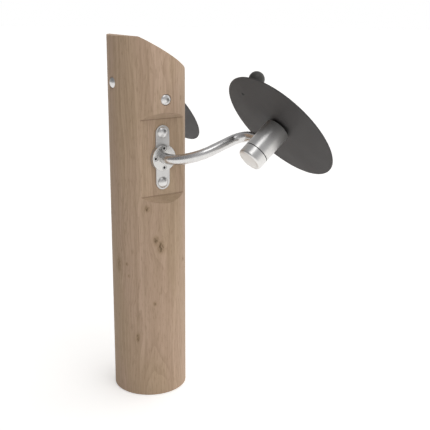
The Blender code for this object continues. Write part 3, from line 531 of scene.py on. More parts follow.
def shaded(colour, share):
    """A linear colour made darker, or lighter where the share is over 1."""
    return tuple(channel * share for channel in colour[:3]) + (1.0,)


class Finish:
    """A material in the making."""

    def __init__(self, name, metallic, roughness, specular=0.5):
        self.material = bpy.data.materials.new(name)
        self.material.use_nodes = True
        self.tree = self.material.node_tree
        self.shader = self.tree.nodes["Principled BSDF"]
        self.shader.inputs["Metallic"].default_value = metallic
        self.shader.inputs["Roughness"].default_value = roughness
        self.shader.inputs["Specular IOR Level"].default_value = specular

    def add(self, kind, inputs=None, **settings):
        return add_node(self.tree, kind, inputs, **settings)

    def place(self):
        """Where a point is on the object, in metres."""
        return self.add("ShaderNodeTexCoord").outputs["Object"]

    def own_place(self):
        """Where a point is on its own upright piece, in metres."""
        return self.add("ShaderNodeAttribute", attribute_name="own").outputs["Vector"]

    def math(self, operation, first, second=0.0):
        return self.add("ShaderNodeMath", {0: first, 1: second}, operation=operation).outputs[0]

    def vector(self, operation, first, second):
        node = self.add("ShaderNodeVectorMath", {0: first, 1: second}, operation=operation)
        return node.outputs["Value" if operation == "DOT_PRODUCT" else "Vector"]

    def noise(self, where, scale=1.0, detail=3.0, roughness=0.5, distortion=0.0):
        inputs = {"Vector": where, "Scale": scale, "Detail": detail}
        inputs.update({"Roughness": roughness, "Distortion": distortion})
        return self.add("ShaderNodeTexNoise", inputs).outputs["Fac"]

    def stretched(self, where, scales, **settings):
        """Noise at a place that is scaled by a number of its own along each axis."""
        return self.noise(self.vector("MULTIPLY", where, scales), **settings)

    def spread(self, value, low, high, to_low=0.0, to_high=1.0):
        """Maps a value smoothly from one span to another."""
        inputs = {"Value": value, "From Min": low, "From Max": high, "To Min": to_low, "To Max": to_high}
        return self.add("ShaderNodeMapRange", inputs, interpolation_type="SMOOTHSTEP").outputs[0]

    def blend(self, share, first, second):
        """Mixes two colours."""
        return self.add("ShaderNodeMix", {0: share, 6: first, 7: second}, data_type="RGBA").outputs[2]

    def distance_from_line(self, where, through):
        """How far a place is from the upright line through a point."""
        offset = self.parts(self.vector("SUBTRACT", where, through))
        across = self.math("MULTIPLY", offset["X"], offset["X"])
        return self.math("SQRT", self.math("ADD", across, self.math("MULTIPLY", offset["Y"], offset["Y"])))

    def parts(self, vector):
        return self.add("ShaderNodeSeparateXYZ", {0: vector}).outputs

    def joined(self, x, y, z):
        return self.add("ShaderNodeCombineXYZ", {0: x, 1: y, 2: z}).outputs[0]

    def bump(self, height, depth, strength):
        bumped = self.add("ShaderNodeBump", {"Height": height, "Distance": depth, "Strength": strength})
        self.tree.links.new(bumped.outputs[0], self.shader.inputs["Normal"])

    def feed(self, socket, value):
        self.tree.links.new(value, self.shader.inputs[socket])


# %% [markdown]
# ### Pale oak
#
# The post is one piece of pale oak, planed and left to weather, so its colour is a greyed pinkish brown
# with olive patches. The grain is a solid pattern, not a wrapped picture: growth rings stand round the
# tree's heart line and fine fibres run up it, so that the side, the planed flats and the slanting end all
# show the right figure. The post was turned out of a wider trunk, so the heart line lies off the post's
# axis. Far from it the rings lie along the wood's face and show as flames, and on the other faces they show
# as straight lines. A knot is a branch that grew out from the centre. It darkens the wood round its own
# line and pushes the grain aside. One small node group bends the grain and marks the place of each knot,
# and a fine noise makes the mark ragged. Short flecks and fine hairs break up the streaks. Where a flat
# runs out to the round side, the wood was cut across its fibres, and light and shade are painted there:
# the upper run-out is painted lighter, against the shade of its downward slope, the lower one darker, as
# end grain with painted shade, and a line of painted shade marks the crease where each one starts.

# %% Knots in the oak
KNOTS = (
    # direction round the post in degrees, height, width, height to width, depth of colour
    (148.9, 0.665, 0.0075, 1.4, 0.75),
    (162.0, 0.5560, 0.0105, 1.6, 0.66),
    (169.5, 0.5330, 0.0105, 1.9, 0.88),
    (158.9, 0.3355, 0.0050, 1.6, 0.70),
    (131.6, 0.2115, 0.0060, 2.6, 0.75),
    (97.6, 0.463, 0.0125, 2.6, 0.50),
    (115.1, 0.471, 0.0050, 1.3, 0.60),
    (118.3, 0.430, 0.0045, 1.4, 0.50),
    (-142.0, 0.467, 0.0060, 1.7, 0.65),
    (-149.0, 1.016, 0.0050, 1.8, 0.60),
    (-60.0, 0.880, 0.0120, 1.8, 0.75),
    (-95.0, 0.300, 0.0080, 1.7, 0.70),
    (20.0, 0.610, 0.0110, 1.9, 0.75),
    (48.0, 0.250, 0.0060, 1.5, 0.65),
)

WOBBLE_SCALE = 70.0
PUSH_SHARE = -0.75
PUSH_REACH = 2.4


def knot_group():
    """Node group: bends the grain round one knot and marks how near a point is to it."""
    tree = bpy.data.node_groups.new("knot_in_oak", "ShaderNodeTree")
    for name in ("Grain", "Place", "Towards", "Across"):
        tree.interface.new_socket(name, in_out="INPUT", socket_type="NodeSocketVector")
    for name in ("Height", "Width", "Tallness"):
        tree.interface.new_socket(name, in_out="INPUT", socket_type="NodeSocketFloat")
    tree.interface.new_socket("Grain", in_out="OUTPUT", socket_type="NodeSocketVector")
    tree.interface.new_socket("Mark", in_out="OUTPUT", socket_type="NodeSocketFloat")
    given = add_node(tree, "NodeGroupInput").outputs

    def maths(operation, first, second=0.0):
        return add_node(tree, "ShaderNodeMath", {0: first, 1: second}, operation=operation).outputs[0]

    def dot(first, second):
        node = add_node(tree, "ShaderNodeVectorMath", {0: first, 1: second}, operation="DOT_PRODUCT")
        return node.outputs["Value"]

    wobbling = {"Vector": given["Place"], "Scale": WOBBLE_SCALE, "Detail": 2.0}
    wobble = add_node(tree, "ShaderNodeTexNoise", wobbling).outputs["Fac"]
    shift = maths("MULTIPLY", maths("SUBTRACT", wobble, 0.5), given["Width"])
    sideways = maths("ADD", dot(given["Place"], given["Across"]), shift)
    front = maths("GREATER_THAN", dot(given["Place"], given["Towards"]), 0.0)
    place_z = add_node(tree, "ShaderNodeSeparateXYZ", {0: given["Place"]}).outputs["Z"]
    rise = maths("SUBTRACT", place_z, given["Height"])
    tall = maths("MULTIPLY", given["Width"], given["Tallness"])

    def nearness(reach):
        """A bell round the knot's line, as wide as the reach."""
        across = maths("DIVIDE", sideways, maths("MULTIPLY", given["Width"], reach))
        along = maths("DIVIDE", rise, maths("MULTIPLY", tall, reach))
        squared = maths("ADD", maths("MULTIPLY", across, across), maths("MULTIPLY", along, along))
        return maths("MULTIPLY", maths("EXPONENT", maths("MULTIPLY", squared, -1.0)), front)

    push = maths("MULTIPLY", maths("MULTIPLY", sideways, PUSH_SHARE), nearness(PUSH_REACH))
    pushed = add_node(tree, "ShaderNodeVectorMath", {0: given["Across"], "Scale": push}, operation="SCALE")
    bent = add_node(tree, "ShaderNodeVectorMath", {0: given["Grain"], 1: pushed.outputs[0]}, operation="ADD")
    add_node(tree, "NodeGroupOutput", {"Grain": bent.outputs[0], "Mark": nearness(1.0)})
    return tree


# %% The oak finish
PITH_LINE = (0.088, -0.020, 0.0)
POST_LINE = (0.0, 0.0, 0.0)
RING_PITCH = 0.0032
CUT_IN_SPAN = (POST_RADIUS - 0.0020, POST_RADIUS - 0.0004)
RUNOUT_BLUR = 0.0008
CREASE_SPAN = (0.0005, 0.0028)


def pale_oak():
    """Weathered oak with growth rings, streaks, fibres, flecks and knots, and painted light and shade where
    the flats run out.
    """
    wood = Finish("pale_oak", metallic=0.0, roughness=0.62, specular=0.25)
    place = wood.place()
    grain, marks = place, None
    group = knot_group()
    for angle, rise, width, tallness, depth in KNOTS:
        turn = math.radians(angle)
        inputs = {"Grain": grain, "Place": place, "Height": rise, "Width": width, "Tallness": tallness}
        inputs["Towards"] = (math.cos(turn), math.sin(turn), 0)
        inputs["Across"] = (-math.sin(turn), math.cos(turn), 0)
        knot = wood.add("ShaderNodeGroup", inputs, node_tree=group)
        grain = knot.outputs["Grain"]
        mark = wood.math("MULTIPLY", knot.outputs["Mark"], depth)
        marks = mark if marks is None else wood.math("MAXIMUM", marks, mark)

    waves = wood.stretched(grain, (5.0, 5.0, 1.7), detail=2.0)
    ripples = wood.stretched(grain, (26.0, 26.0, 3.0), detail=2.0)
    wander = wood.math("ADD", wood.math("MULTIPLY", waves, 0.040), wood.math("MULTIPLY", ripples, 0.004))
    from_pith = wood.math("ADD", wood.distance_from_line(grain, PITH_LINE), wander)
    rings = wood.math("DIVIDE", from_pith, RING_PITCH)
    late_wood = wood.spread(wood.math("FRACT", rings), 0.45, 0.98)
    ring_number = wood.math("MULTIPLY", wood.math("FLOOR", rings), 0.73)
    ring_tone = wood.noise(wood.joined(ring_number, 0.0, 0.0), detail=0.0)

    streaks = wood.stretched(grain, (70.0, 70.0, 1.2), detail=4.0, roughness=0.65)
    fibres = wood.stretched(grain, (420.0, 420.0, 7.0), detail=3.0, roughness=0.65)
    hairs = wood.stretched(grain, (1300.0, 1300.0, 22.0), detail=2.0)
    flecks = wood.stretched(grain, (240.0, 240.0, 34.0), detail=3.0, roughness=0.6)
    patches = wood.stretched(place, (9.0, 9.0, 2.2), detail=2.0)
    ragged = wood.stretched(place, (330.0, 330.0, 120.0), detail=4.0, roughness=0.7)
    marks = wood.math("MULTIPLY", marks, wood.spread(ragged, 0.35, 0.65, 0.45, 1.35))

    pinkish = seen_colour(194, 168, 147)
    olive = seen_colour(188, 164, 139)
    colour = wood.blend(wood.spread(patches, 0.38, 0.62), pinkish, olive)
    for pattern, low, high, share, tint in (
        # a pattern, the span in which its tint sets in or none where it follows the pattern itself,
        # the tint's full share, the tint as seen
        (streaks, 0.40, 0.70, 0.34, (150, 127, 102)),
        (ring_tone, 0.35, 0.65, 0.25, (150, 124, 100)),
        (fibres, 0.50, 0.80, 0.45, (140, 117, 94)),
        (fibres, 0.45, 0.20, 0.35, (196, 174, 152)),
        (late_wood, None, None, 0.17, (134, 110, 86)),
        (flecks, 0.53, 0.72, 0.42, (136, 115, 88)),
        (flecks, 0.42, 0.28, 0.30, (200, 177, 153)),
        (hairs, 0.62, 0.80, 0.30, (112, 92, 72)),
        (marks, 0.02, 0.45, 0.50, (142, 118, 86)),
        (marks, 0.30, 0.85, 0.80, (92, 72, 52)),
    ):
        if low is None:
            amount = wood.math("MULTIPLY", pattern, share)
        else:
            amount = wood.spread(pattern, low, high, 0.0, share)
        colour = wood.blend(amount, colour, seen_colour(*tint))

    # Painted light and shade where the flats run out, and a line of painted shade along each crease.
    height = wood.parts(place)["Z"]
    cut_in = wood.spread(wood.distance_from_line(place, POST_LINE), *CUT_IN_SPAN, 1.0, 0.0)
    from_bracket = wood.math("ABSOLUTE", wood.math("SUBTRACT", height, BRACKET_Z))
    past_flat = wood.math("SUBTRACT", from_bracket, FLAT_LENGTH / 2)
    at_edge = wood.spread(wood.math("ABSOLUTE", past_flat), *CREASE_SPAN, 1.0, 0.0)
    # Painted shade: a dark line along the crease where a flat ends, for the shadow of its shoulder.
    painted_crease_shade = wood.math("MULTIPLY", cut_in, at_edge)
    runout_painted_light_mask = wood.math("MULTIPLY", cut_in, wood.spread(past_flat, 0.0, RUNOUT_BLUR))
    # Painted light and shade: the upper run-out lighter, the lower darker (end grain with painted shade).
    above = wood.math("GREATER_THAN", height, BRACKET_Z)
    runout_painted_light_and_shade = wood.blend(above, seen_colour(140, 119, 90), seen_colour(196, 172, 148))
    colour = wood.blend(wood.math("MULTIPLY", runout_painted_light_mask, 0.26), colour, runout_painted_light_and_shade)
    colour = wood.blend(wood.math("MULTIPLY", painted_crease_shade, 0.32), colour, seen_colour(96, 76, 56))

    wood.feed("Base Color", colour)
    wood.feed("Roughness", wood.spread(fibres, 0.2, 0.8, 0.55, 0.72))
    relief = wood.math("ADD", wood.math("MULTIPLY", fibres, 0.7), wood.math("MULTIPLY", late_wood, -0.5))
    wood.bump(relief, 0.0004, 0.35)
    return wood.material


OAK = pale_oak()
print("oak nodes:", len(OAK.node_tree.nodes))

# %% [markdown]
# ### Steel
#
# Most of the metal is stainless steel, but not all of it was worked alike. The arm is bent from polished
# tube, the hub was turned and brushed, the plate and the flange were blasted to an even satin, and the
# fasteners are bright. The bearings are ground, and the spindle and the knob's screw are blackened.
# Brushing follows the tool: on a turned piece it runs round the axis. So the pattern changes thirty to
# seventy times faster along and out from a piece's own axis than round it. Two finishes also carry painted
# shade: the flange screws' in the key sockets, and the hub's in its joint line between housing and cap.
# They are made beside their pieces, because they need those pieces' sizes.


# %% Steel finishes
SMUDGE = 0.04
# Colours of painted shade in the screws' key sockets and in the hub's joint line.
SOCKET_PAINTED_SHADE_COLOUR = seen_colour(52, 50, 48)
JOINT_PAINTED_SHADE_COLOUR = seen_colour(58, 56, 54)


def worked_steel(name, seen, rough, line_pitch, depth, socket=None, joint=None):
    """Steel with tool lines round its own axis and faint smudges, and painted shade in a key socket or a
    joint.
    """
    colour = seen_colour(*seen)
    steel = Finish(name, metallic=1.0, roughness=rough[0])
    own = steel.own_place()
    along = steel.parts(own)["Z"]
    out = steel.distance_from_line(own, (0, 0, 0))
    run = steel.math("MULTIPLY", steel.math("ADD", along, out), 1.0 / line_pitch)
    around = steel.vector("MULTIPLY", own, (35.0, 35.0, 0.0))
    lines_at = steel.vector("ADD", around, steel.joined(0.0, 0.0, run))
    lines = steel.noise(lines_at, detail=3.0, roughness=0.6)
    broad = steel.noise(lines_at, scale=0.12, detail=2.0)
    blotches = steel.noise(steel.place(), scale=22.0, detail=4.0, roughness=0.6)
    wear = steel.math("ADD", steel.math("MULTIPLY", lines, 0.6), steel.math("MULTIPLY", broad, 0.4))
    tone = steel.blend(steel.spread(wear, 0.35, 0.75, 0.0, 0.6), colour, shaded(colour, 0.86))
    # Painted shade: the key socket is darkened where its own shade falls.
    if socket:
        radius, mouth = socket
        within = steel.math("LESS_THAN", out, radius)
        below = steel.math("LESS_THAN", along, mouth)
        tone = steel.blend(steel.math("MULTIPLY", within, below), tone, SOCKET_PAINTED_SHADE_COLOUR)
    # Painted shade: the joint line between housing and cap is darkened where shade falls.
    if joint:
        low, high = joint
        above = steel.math("GREATER_THAN", along, low)
        below = steel.math("LESS_THAN", along, high)
        tone = steel.blend(steel.math("MULTIPLY", above, below), tone, JOINT_PAINTED_SHADE_COLOUR)
    steel.feed("Base Color", tone)
    smudges = steel.spread(blotches, 0.45, 0.75, 0.0, SMUDGE)
    steel.feed("Roughness", steel.math("ADD", steel.spread(wear, 0.3, 0.7, *rough), smudges))
    steel.bump(lines, depth, 0.6)
    return steel.material


def satin_steel(name, seen, roughness, grain, depth):
    """Blasted stainless steel: a fine even grain with soft blotches where water dried."""
    colour = seen_colour(*seen)
    steel = Finish(name, metallic=1.0, roughness=roughness)
    place = steel.place()
    pits = steel.noise(place, scale=grain, detail=2.0, roughness=0.6)
    blotches = steel.noise(place, scale=26.0, detail=4.0, roughness=0.55)
    marks = steel.stretched(place, (90.0, 90.0, 12.0), detail=3.0)
    dried = steel.spread(blotches, 0.42, 0.72, 0.0, 0.55)
    steel.feed("Base Color", steel.blend(dried, colour, shaded(colour, 0.84)))
    rough = steel.spread(pits, 0.3, 0.7, roughness - 0.04, roughness + 0.06)
    steel.feed("Roughness", steel.math("ADD", rough, steel.spread(marks, 0.55, 0.75, 0.0, 0.05)))
    steel.bump(pits, depth, 0.5)
    return steel.material


# worked steel: name, colour as seen, roughness from and to, pitch of the tool lines, their depth
POLISHED_TUBE = worked_steel("polished_tube_steel", (216, 215, 214), (0.22, 0.28), 0.0009, 0.0000012)
BRIGHT_FASTENER = worked_steel("bright_fastener_steel", (218, 217, 216), (0.27, 0.34), 0.0006, 0.000003)
GROUND_BEARING = worked_steel("ground_bearing_steel", (188, 188, 190), (0.14, 0.24), 0.0005, 0.00001)
BLACK_SPINDLE = worked_steel("blackened_spindle_steel", (74, 73, 72), (0.36, 0.50), 0.0006, 0.00001)
BLACK_SCREW = worked_steel("blackened_screw_steel", (17, 17, 16), (0.36, 0.50), 0.0006, 0.00001)
# satin steel: name, colour as seen, roughness, scale of the grain, its depth
SATIN_PLATE = satin_steel("satin_plate_steel", (207, 206, 205), 0.38, 1800.0, 0.00001)
SATIN_FLANGE = satin_steel("satin_flange_steel", (206, 205, 203), 0.20, 2400.0, 0.000004)
print("steel finishes:", [m.name for m in (POLISHED_TUBE, BRIGHT_FASTENER, SATIN_PLATE, SATIN_FLANGE)])

# %% [markdown]
# ### Dark plastic
#
# The disc is a stiff plastic sheet with a fine pebbled skin, and the knob is moulded from the same dark
# grey. Hands polish the knob, so it is a little glossier. Sun and use leave a faint mottling and a few hair
# scratches.


# %% Plastic finishes
def moulded_plastic(name, seen, roughness, pebble, depth, scratch):
    """Dark plastic with a pebbled skin, faint mottling and hair scratches."""
    colour = seen_colour(*seen)
    plastic = Finish(name, metallic=0.0, roughness=roughness, specular=0.35)
    place = plastic.place()
    skin = plastic.noise(place, scale=pebble, detail=2.0, roughness=0.55)
    mottle = plastic.noise(place, scale=11.0, detail=4.0, roughness=0.6)
    first = plastic.stretched(place, (900.0, 40.0, 70.0), detail=2.0)
    second = plastic.stretched(place, (60.0, 700.0, 500.0), detail=2.0)
    scratches = plastic.math("MAXIMUM", plastic.spread(first, 0.72, 0.80), plastic.spread(second, 0.73, 0.80))
    tone = plastic.blend(plastic.spread(mottle, 0.35, 0.70), shaded(colour, 0.90), shaded(colour, 1.10))
    tone = plastic.blend(plastic.math("MULTIPLY", scratches, scratch), tone, seen_colour(110, 108, 104))
    plastic.feed("Base Color", tone)
    plastic.feed("Roughness", plastic.spread(mottle, 0.3, 0.7, roughness - 0.05, roughness + 0.05))
    plastic.bump(skin, depth, 0.5)
    return plastic.material


# name, colour as seen, roughness, scale of the pebbles, their depth, how much the scratches show
DISC_PLASTIC = moulded_plastic("dark_disc_plastic", (67, 65, 65), 0.58, 1500.0, 0.0001, 0.10)
KNOB_PLASTIC = moulded_plastic("dark_knob_plastic", (66, 65, 63), 0.42, 2200.0, 0.00004, 0.06)
print("plastic finishes:", DISC_PLASTIC.name, KNOB_PLASTIC.name)

# %% [markdown]
# ## Post
#
# The post is a plain log: round, sawn at a slant so that rain runs off, with a flat milled into each side
# for the plates. The planer leaves the wood at a slant, so each flat's ends run out to the round side.
# Pushing the circle's points in to the flat's distance, and their rim up or down along the slant, gives
# that with no Boolean and keeps the wood's side smooth. The slanting top is one plane cut. The bolt holes
# and their spot faces are cut last. A small Bevel then breaks all the edges, as a carpenter does.

# %% Post mesh
POST_SIDES = 240
POST_EDGE = 0.0012
CUTTER_SIDES = 64
FOOT_CHAMFER = 0.002
BOLT_HOLE_RADIUS = 0.0087
NECK_HOLE_RADIUS = 0.0120
NECK_LENGTH = 0.005
NECK_CLEARANCE = 0.0007
SPOT_FACE_RADIUS = 0.0184
SPOT_FACE_DEPTH = 0.003
SPOT_FACE = math.sqrt(POST_RADIUS**2 - SPOT_FACE_RADIUS**2) - SPOT_FACE_DEPTH
SIDE_TIE_Z = 1.0145
FRONT_TIE_Z = 1.0635


def post_ring(radius, height):
    """One level of the round post, with a point on each edge of the two flats."""
    edge = math.acos(FLAT_FROM_AXIS / POST_RADIUS)
    angles = [math.tau * step / POST_SIDES for step in range(POST_SIDES)]
    angles += [edge, math.pi - edge, math.pi + edge, math.tau - edge]
    return [Vector((radius * math.cos(a), radius * math.sin(a), height)) for a in sorted(angles)]


def flat_end(height, way):
    """Two rings at one end of the flats: the slanting rim on the round wood, and the flats' own edge."""
    rim = []
    edge = []
    for point in post_ring(POST_RADIUS, height):
        over = max(0.0, abs(point.x) - FLAT_FROM_AXIS)
        rim.append(point + Vector((0, 0, way * over * math.tan(FLAT_RUNOUT_ANGLE))))
        edge.append(point - Vector((math.copysign(over, point.x), 0, 0)))
    return rim, edge


def build_post():
    """The post as a working object, before its holes are drilled."""
    lower_rim, lower_edge = flat_end(BRACKET_Z - FLAT_LENGTH / 2, -1)
    upper_rim, upper_edge = flat_end(BRACKET_Z + FLAT_LENGTH / 2, 1)
    foot = [post_ring(POST_RADIUS - FOOT_CHAMFER, 0), post_ring(POST_RADIUS, FOOT_CHAMFER)]
    bm = skinned([*foot, lower_rim, lower_edge, upper_edge, upper_rim, post_ring(POST_RADIUS, POST_HEIGHT)])
    bmesh.ops.remove_doubles(bm, verts=bm.verts, dist=TINY)
    sawn = bmesh.ops.bisect_plane(
        bm,
        geom=bm.verts[:] + bm.edges[:] + bm.faces[:],
        plane_co=(0, SLOPE_RIDGE_Y, POST_HEIGHT),
        plane_no=(0, -math.sin(SLOPE_ANGLE), math.cos(SLOPE_ANGLE)),
        clear_outer=True,
    )
    rim = [item for item in sawn["geom_cut"] if isinstance(item, bmesh.types.BMEdge)]
    bmesh.ops.holes_fill(bm, edges=rim, sides=0)
    return work_object(bm)


def bolt_place(outward, distance, height):
    """Place on the post at a distance from its axis, with Z pointing outwards and X up."""
    origin = Vector(outward) * distance + Vector((0, 0, height))
    return axes_matrix((0, 0, 1), outward, origin)


def drilled(profile, place):
    """A cutter turned from a profile and moved to its place."""
    bm = turned([(0, profile[0][1]), *profile, (0, profile[-1][1])], CUTTER_SIDES)
    bmesh.ops.transform(bm, matrix=place, verts=bm.verts)
    return bm


# %% Post with its holes
FIXED = "post_and_arms"
OUTSIDE = POST_RADIUS + CUT_PAST
neck_floor = SPOT_FACE - NECK_LENGTH - NECK_CLEARANCE
tie_hole = [
    (SPOT_FACE_RADIUS, -OUTSIDE),
    (SPOT_FACE_RADIUS, -SPOT_FACE),
    (BOLT_HOLE_RADIUS, -SPOT_FACE),
    (BOLT_HOLE_RADIUS, neck_floor),
    (NECK_HOLE_RADIUS, neck_floor),
    (NECK_HOLE_RADIUS, SPOT_FACE),
    (SPOT_FACE_RADIUS, SPOT_FACE),
    (SPOT_FACE_RADIUS, OUTSIDE),
]
clamp_hole = [(BOLT_HOLE_RADIUS, -OUTSIDE), (BOLT_HOLE_RADIUS, OUTSIDE)]
CLAMP_HEIGHTS = (BRACKET_Z + PLATE_BOLT_SPACING / 2, BRACKET_Z - PLATE_BOLT_SPACING / 2)
post_cutters = [
    drilled(tie_hole, bolt_place((-1, 0, 0), 0, SIDE_TIE_Z)),
    drilled(tie_hole, bolt_place((0, 1, 0), 0, FRONT_TIE_Z)),
]
post_cutters += [drilled(clamp_hole, bolt_place((-1, 0, 0), 0, rise)) for rise in CLAMP_HEIGHTS]
post_work = round_edges(carve(build_post(), post_cutters), POST_EDGE)
settle(post_work, "oak_post", Matrix.Identity(4), OAK, "pale_oak", FIXED, "post")

# %% [markdown]
# ## Fasteners
#
# Four long carriage bolts go right through the post. Each has a domed head with a square neck, and a dome
# nut with a collar on the far end. The flange has four low-head socket screws. Geometry Nodes place them:
# the tree takes a blank part and a layout, which is a handful of points that each carry a turn, and puts
# one blank on each point. The blank, its scale and its finish stay as named inputs.


# %% Helpers for Geometry Nodes trees
def new_tree(title, wanted, result):
    """A tree with its inputs and its output, and each input's identifier by name."""
    tree = bpy.data.node_groups.new(title, "GeometryNodeTree")
    names = {}
    for name, kind in wanted:
        socket = tree.interface.new_socket(name, in_out="INPUT", socket_type="NodeSocket" + kind)
        names[name] = socket.identifier
    tree.interface.new_socket(result, in_out="OUTPUT", socket_type="NodeSocketGeometry")
    return tree, names


def hand_out(tree, geometry, finish, result):
    """Makes a tree's instances real, gives them their finish and hands them out."""
    real = add_node(tree, "GeometryNodeRealizeInstances", {"Geometry": geometry})
    dressed = add_node(tree, "GeometryNodeSetMaterial", {"Geometry": real.outputs[0], "Material": finish})
    add_node(tree, "NodeGroupOutput", {result: dressed.outputs[0]})


def run_tree(tree, names, values, mesh):
    """The mesh that a tree makes from these values."""
    holder = linked("tree_work", mesh)
    nodes = holder.modifiers.new("tree", "NODES")
    nodes.node_group = tree
    for name, value in values.items():
        nodes[names[name]] = value
    return frozen(holder)


# %% A tree that sets blanks on a layout
def set_blanks_tree():
    """Geometry Nodes: one blank on each point of the layout, turned by the point's own turn."""
    wanted = (("Layout", "Geometry"), ("Blank", "Object"), ("Scale", "Float"), ("Finish", "Material"))
    tree, names = new_tree("set_blanks", wanted, "Pieces")
    given = add_node(tree, "NodeGroupInput").outputs
    turn = add_node(tree, "GeometryNodeInputNamedAttribute", {"Name": "turn"}, data_type="FLOAT_VECTOR")
    rotation = add_node(tree, "FunctionNodeEulerToRotation", {"Euler": turn.outputs["Attribute"]})
    blank = add_node(tree, "GeometryNodeObjectInfo", {"Object": given["Blank"], "As Instance": True})
    spread = {"Points": given["Layout"], "Instance": blank.outputs["Geometry"]}
    spread.update({"Rotation": rotation.outputs[0], "Scale": given["Scale"]})
    placed = add_node(tree, "GeometryNodeInstanceOnPoints", spread)
    hand_out(tree, placed.outputs[0], given["Finish"], "Pieces")
    return tree, names


SET_BLANKS, SET_INPUTS = set_blanks_tree()


def set_out(blank, places, finish):
    """One mesh with the blank on every place."""
    layout = bpy.data.meshes.new("layout")
    layout.from_pydata([place.translation[:] for place in places], [], [])
    turns = [value for place in places for value in place.to_euler()]
    layout.attributes.new("turn", "FLOAT_VECTOR", "POINT").data.foreach_set("vector", turns)
    holder = linked("blank", blank)
    mesh = run_tree(SET_BLANKS, SET_INPUTS, {"Blank": holder, "Scale": 1.0, "Finish": finish}, layout)
    bpy.data.objects.remove(holder)
    return mesh


# %% Carriage bolts
BOLT_RADIUS = 0.008
BOLT_POINT = 0.0012
BOLT_HEAD_RADIUS = 0.018
BOLT_HEAD_HEIGHT = 0.009
BOLT_HEAD_RIM = 0.0012
BOLT_NECK_WIDTH = 0.016
NECK_TAPER = 0.0010
NECK_CORNERS = (1.32, 1.36)
RIM_EDGE = 0.0004
DOME_STEPS = 14
NUT_BORE_DEPTH = 0.019
BOLT_END_GAP = 0.002
BOLT_SIDES = 64
TIE_SEAT = SPOT_FACE + SEAT_GAP
STEEL_SLOT = "brushed_stainless_steel"


def bolt_blank(grip):
    """A carriage bolt whose head seats at z = 0."""
    neck = BOLT_NECK_WIDTH / 2
    tip = -(grip + NUT_BORE_DEPTH - BOLT_END_GAP)
    turn = math.pi / 4
    lower_corner, upper_corner = (BOLT_RADIUS * share for share in NECK_CORNERS)
    rings = [
        ring(BOLT_RADIUS - BOLT_POINT, tip, BOLT_SIDES),
        ring(BOLT_RADIUS, tip + BOLT_POINT, BOLT_SIDES),
        ring(BOLT_RADIUS, -NECK_LENGTH - NECK_TAPER, BOLT_SIDES),
        ring(neck, -NECK_LENGTH, BOLT_SIDES, 4, turn, lower_corner),
        ring(neck, 0, BOLT_SIDES, 4, turn, upper_corner),
        ring(BOLT_HEAD_RADIUS - RIM_EDGE, 0, BOLT_SIDES),
        ring(BOLT_HEAD_RADIUS, RIM_EDGE, BOLT_SIDES),
    ]
    dome = BOLT_HEAD_HEIGHT - BOLT_HEAD_RIM
    sphere = (BOLT_HEAD_RADIUS**2 + dome**2) / (2 * dome)
    reach = math.asin(BOLT_HEAD_RADIUS / sphere)
    for step in range(DOME_STEPS):
        angle = reach * (1 - step / DOME_STEPS)
        height_now = BOLT_HEAD_HEIGHT - sphere * (1 - math.cos(angle))
        rings.append(ring(sphere * math.sin(angle), height_now, BOLT_SIDES))
    return blank_mesh(work_object(skinned(rings)))


clamp_places = [bolt_place((-1, 0, 0), BOLT_SEAT, rise) for rise in CLAMP_HEIGHTS]
clamp_bolts = set_out(bolt_blank(2 * BOLT_SEAT), clamp_places, BRIGHT_FASTENER)
tie_places = [bolt_place((-1, 0, 0), TIE_SEAT, SIDE_TIE_Z), bolt_place((0, 1, 0), TIE_SEAT, FRONT_TIE_Z)]
tie_bolts = set_out(bolt_blank(2 * TIE_SEAT), tie_places, BRIGHT_FASTENER)
for mesh, name, nodes in (
    (clamp_bolts, "clamp_bolts", ("upper_clamp_bolt", "lower_clamp_bolt")),
    (tie_bolts, "tie_bolts", ("side_tie_bolt", "front_tie_bolt")),
):
    seat(mesh, name, Matrix.Identity(4), BRIGHT_FASTENER, FIXED, nodes)

# %% Dome nuts
NUT_FLANGE_RADIUS = 0.0175
NUT_FLANGE_THICKNESS = 0.003
NUT_FLANGE_FALL = 0.0010
NUT_MOUTH = 0.0008
NUT_ACROSS_FLATS = 0.024
NUT_HEX_LENGTH = 0.011
NUT_CORNER_CUT = 0.0002
NUT_DOME_RADIUS = 0.0115
NUT_SIDES = 72


def nut_blank():
    """A dome nut with a collar, seated at z = 0, with the hexagon's corners turned off."""
    bore = BOLT_RADIUS + SEAT_GAP
    flat = NUT_ACROSS_FLATS / 2
    corner = flat / math.cos(math.pi / 6) - NUT_CORNER_CUT
    collar = NUT_FLANGE_THICKNESS
    top = collar + NUT_HEX_LENGTH
    rings = [
        ring(bore, NUT_BORE_DEPTH, NUT_SIDES),
        ring(bore, NUT_MOUTH, NUT_SIDES),
        ring(bore + NUT_MOUTH, 0, NUT_SIDES),
        ring(NUT_FLANGE_RADIUS - RIM_EDGE, 0, NUT_SIDES),
        ring(NUT_FLANGE_RADIUS, RIM_EDGE, NUT_SIDES),
        ring(NUT_FLANGE_RADIUS, collar * 0.5, NUT_SIDES),
        ring(NUT_FLANGE_RADIUS - NUT_FLANGE_FALL, collar * 0.8, NUT_SIDES),
    ]
    for z, cap in (
        # height, and the radius to which the corners are turned down there
        (collar, corner),
        (top - 0.0016, corner),
        (top - 0.0006, flat + 0.0008),
        (top, flat + 0.0001),
    ):
        rings.append(ring(flat, z, NUT_SIDES, 6, 0.0, cap))
    for step in range(DOME_STEPS):
        angle = math.pi / 2 * step / DOME_STEPS
        height_now = top + NUT_DOME_RADIUS * math.sin(angle)
        rings.append(ring(NUT_DOME_RADIUS * math.cos(angle), height_now, NUT_SIDES))
    return blank_mesh(creased(work_object(skinned(rings))))


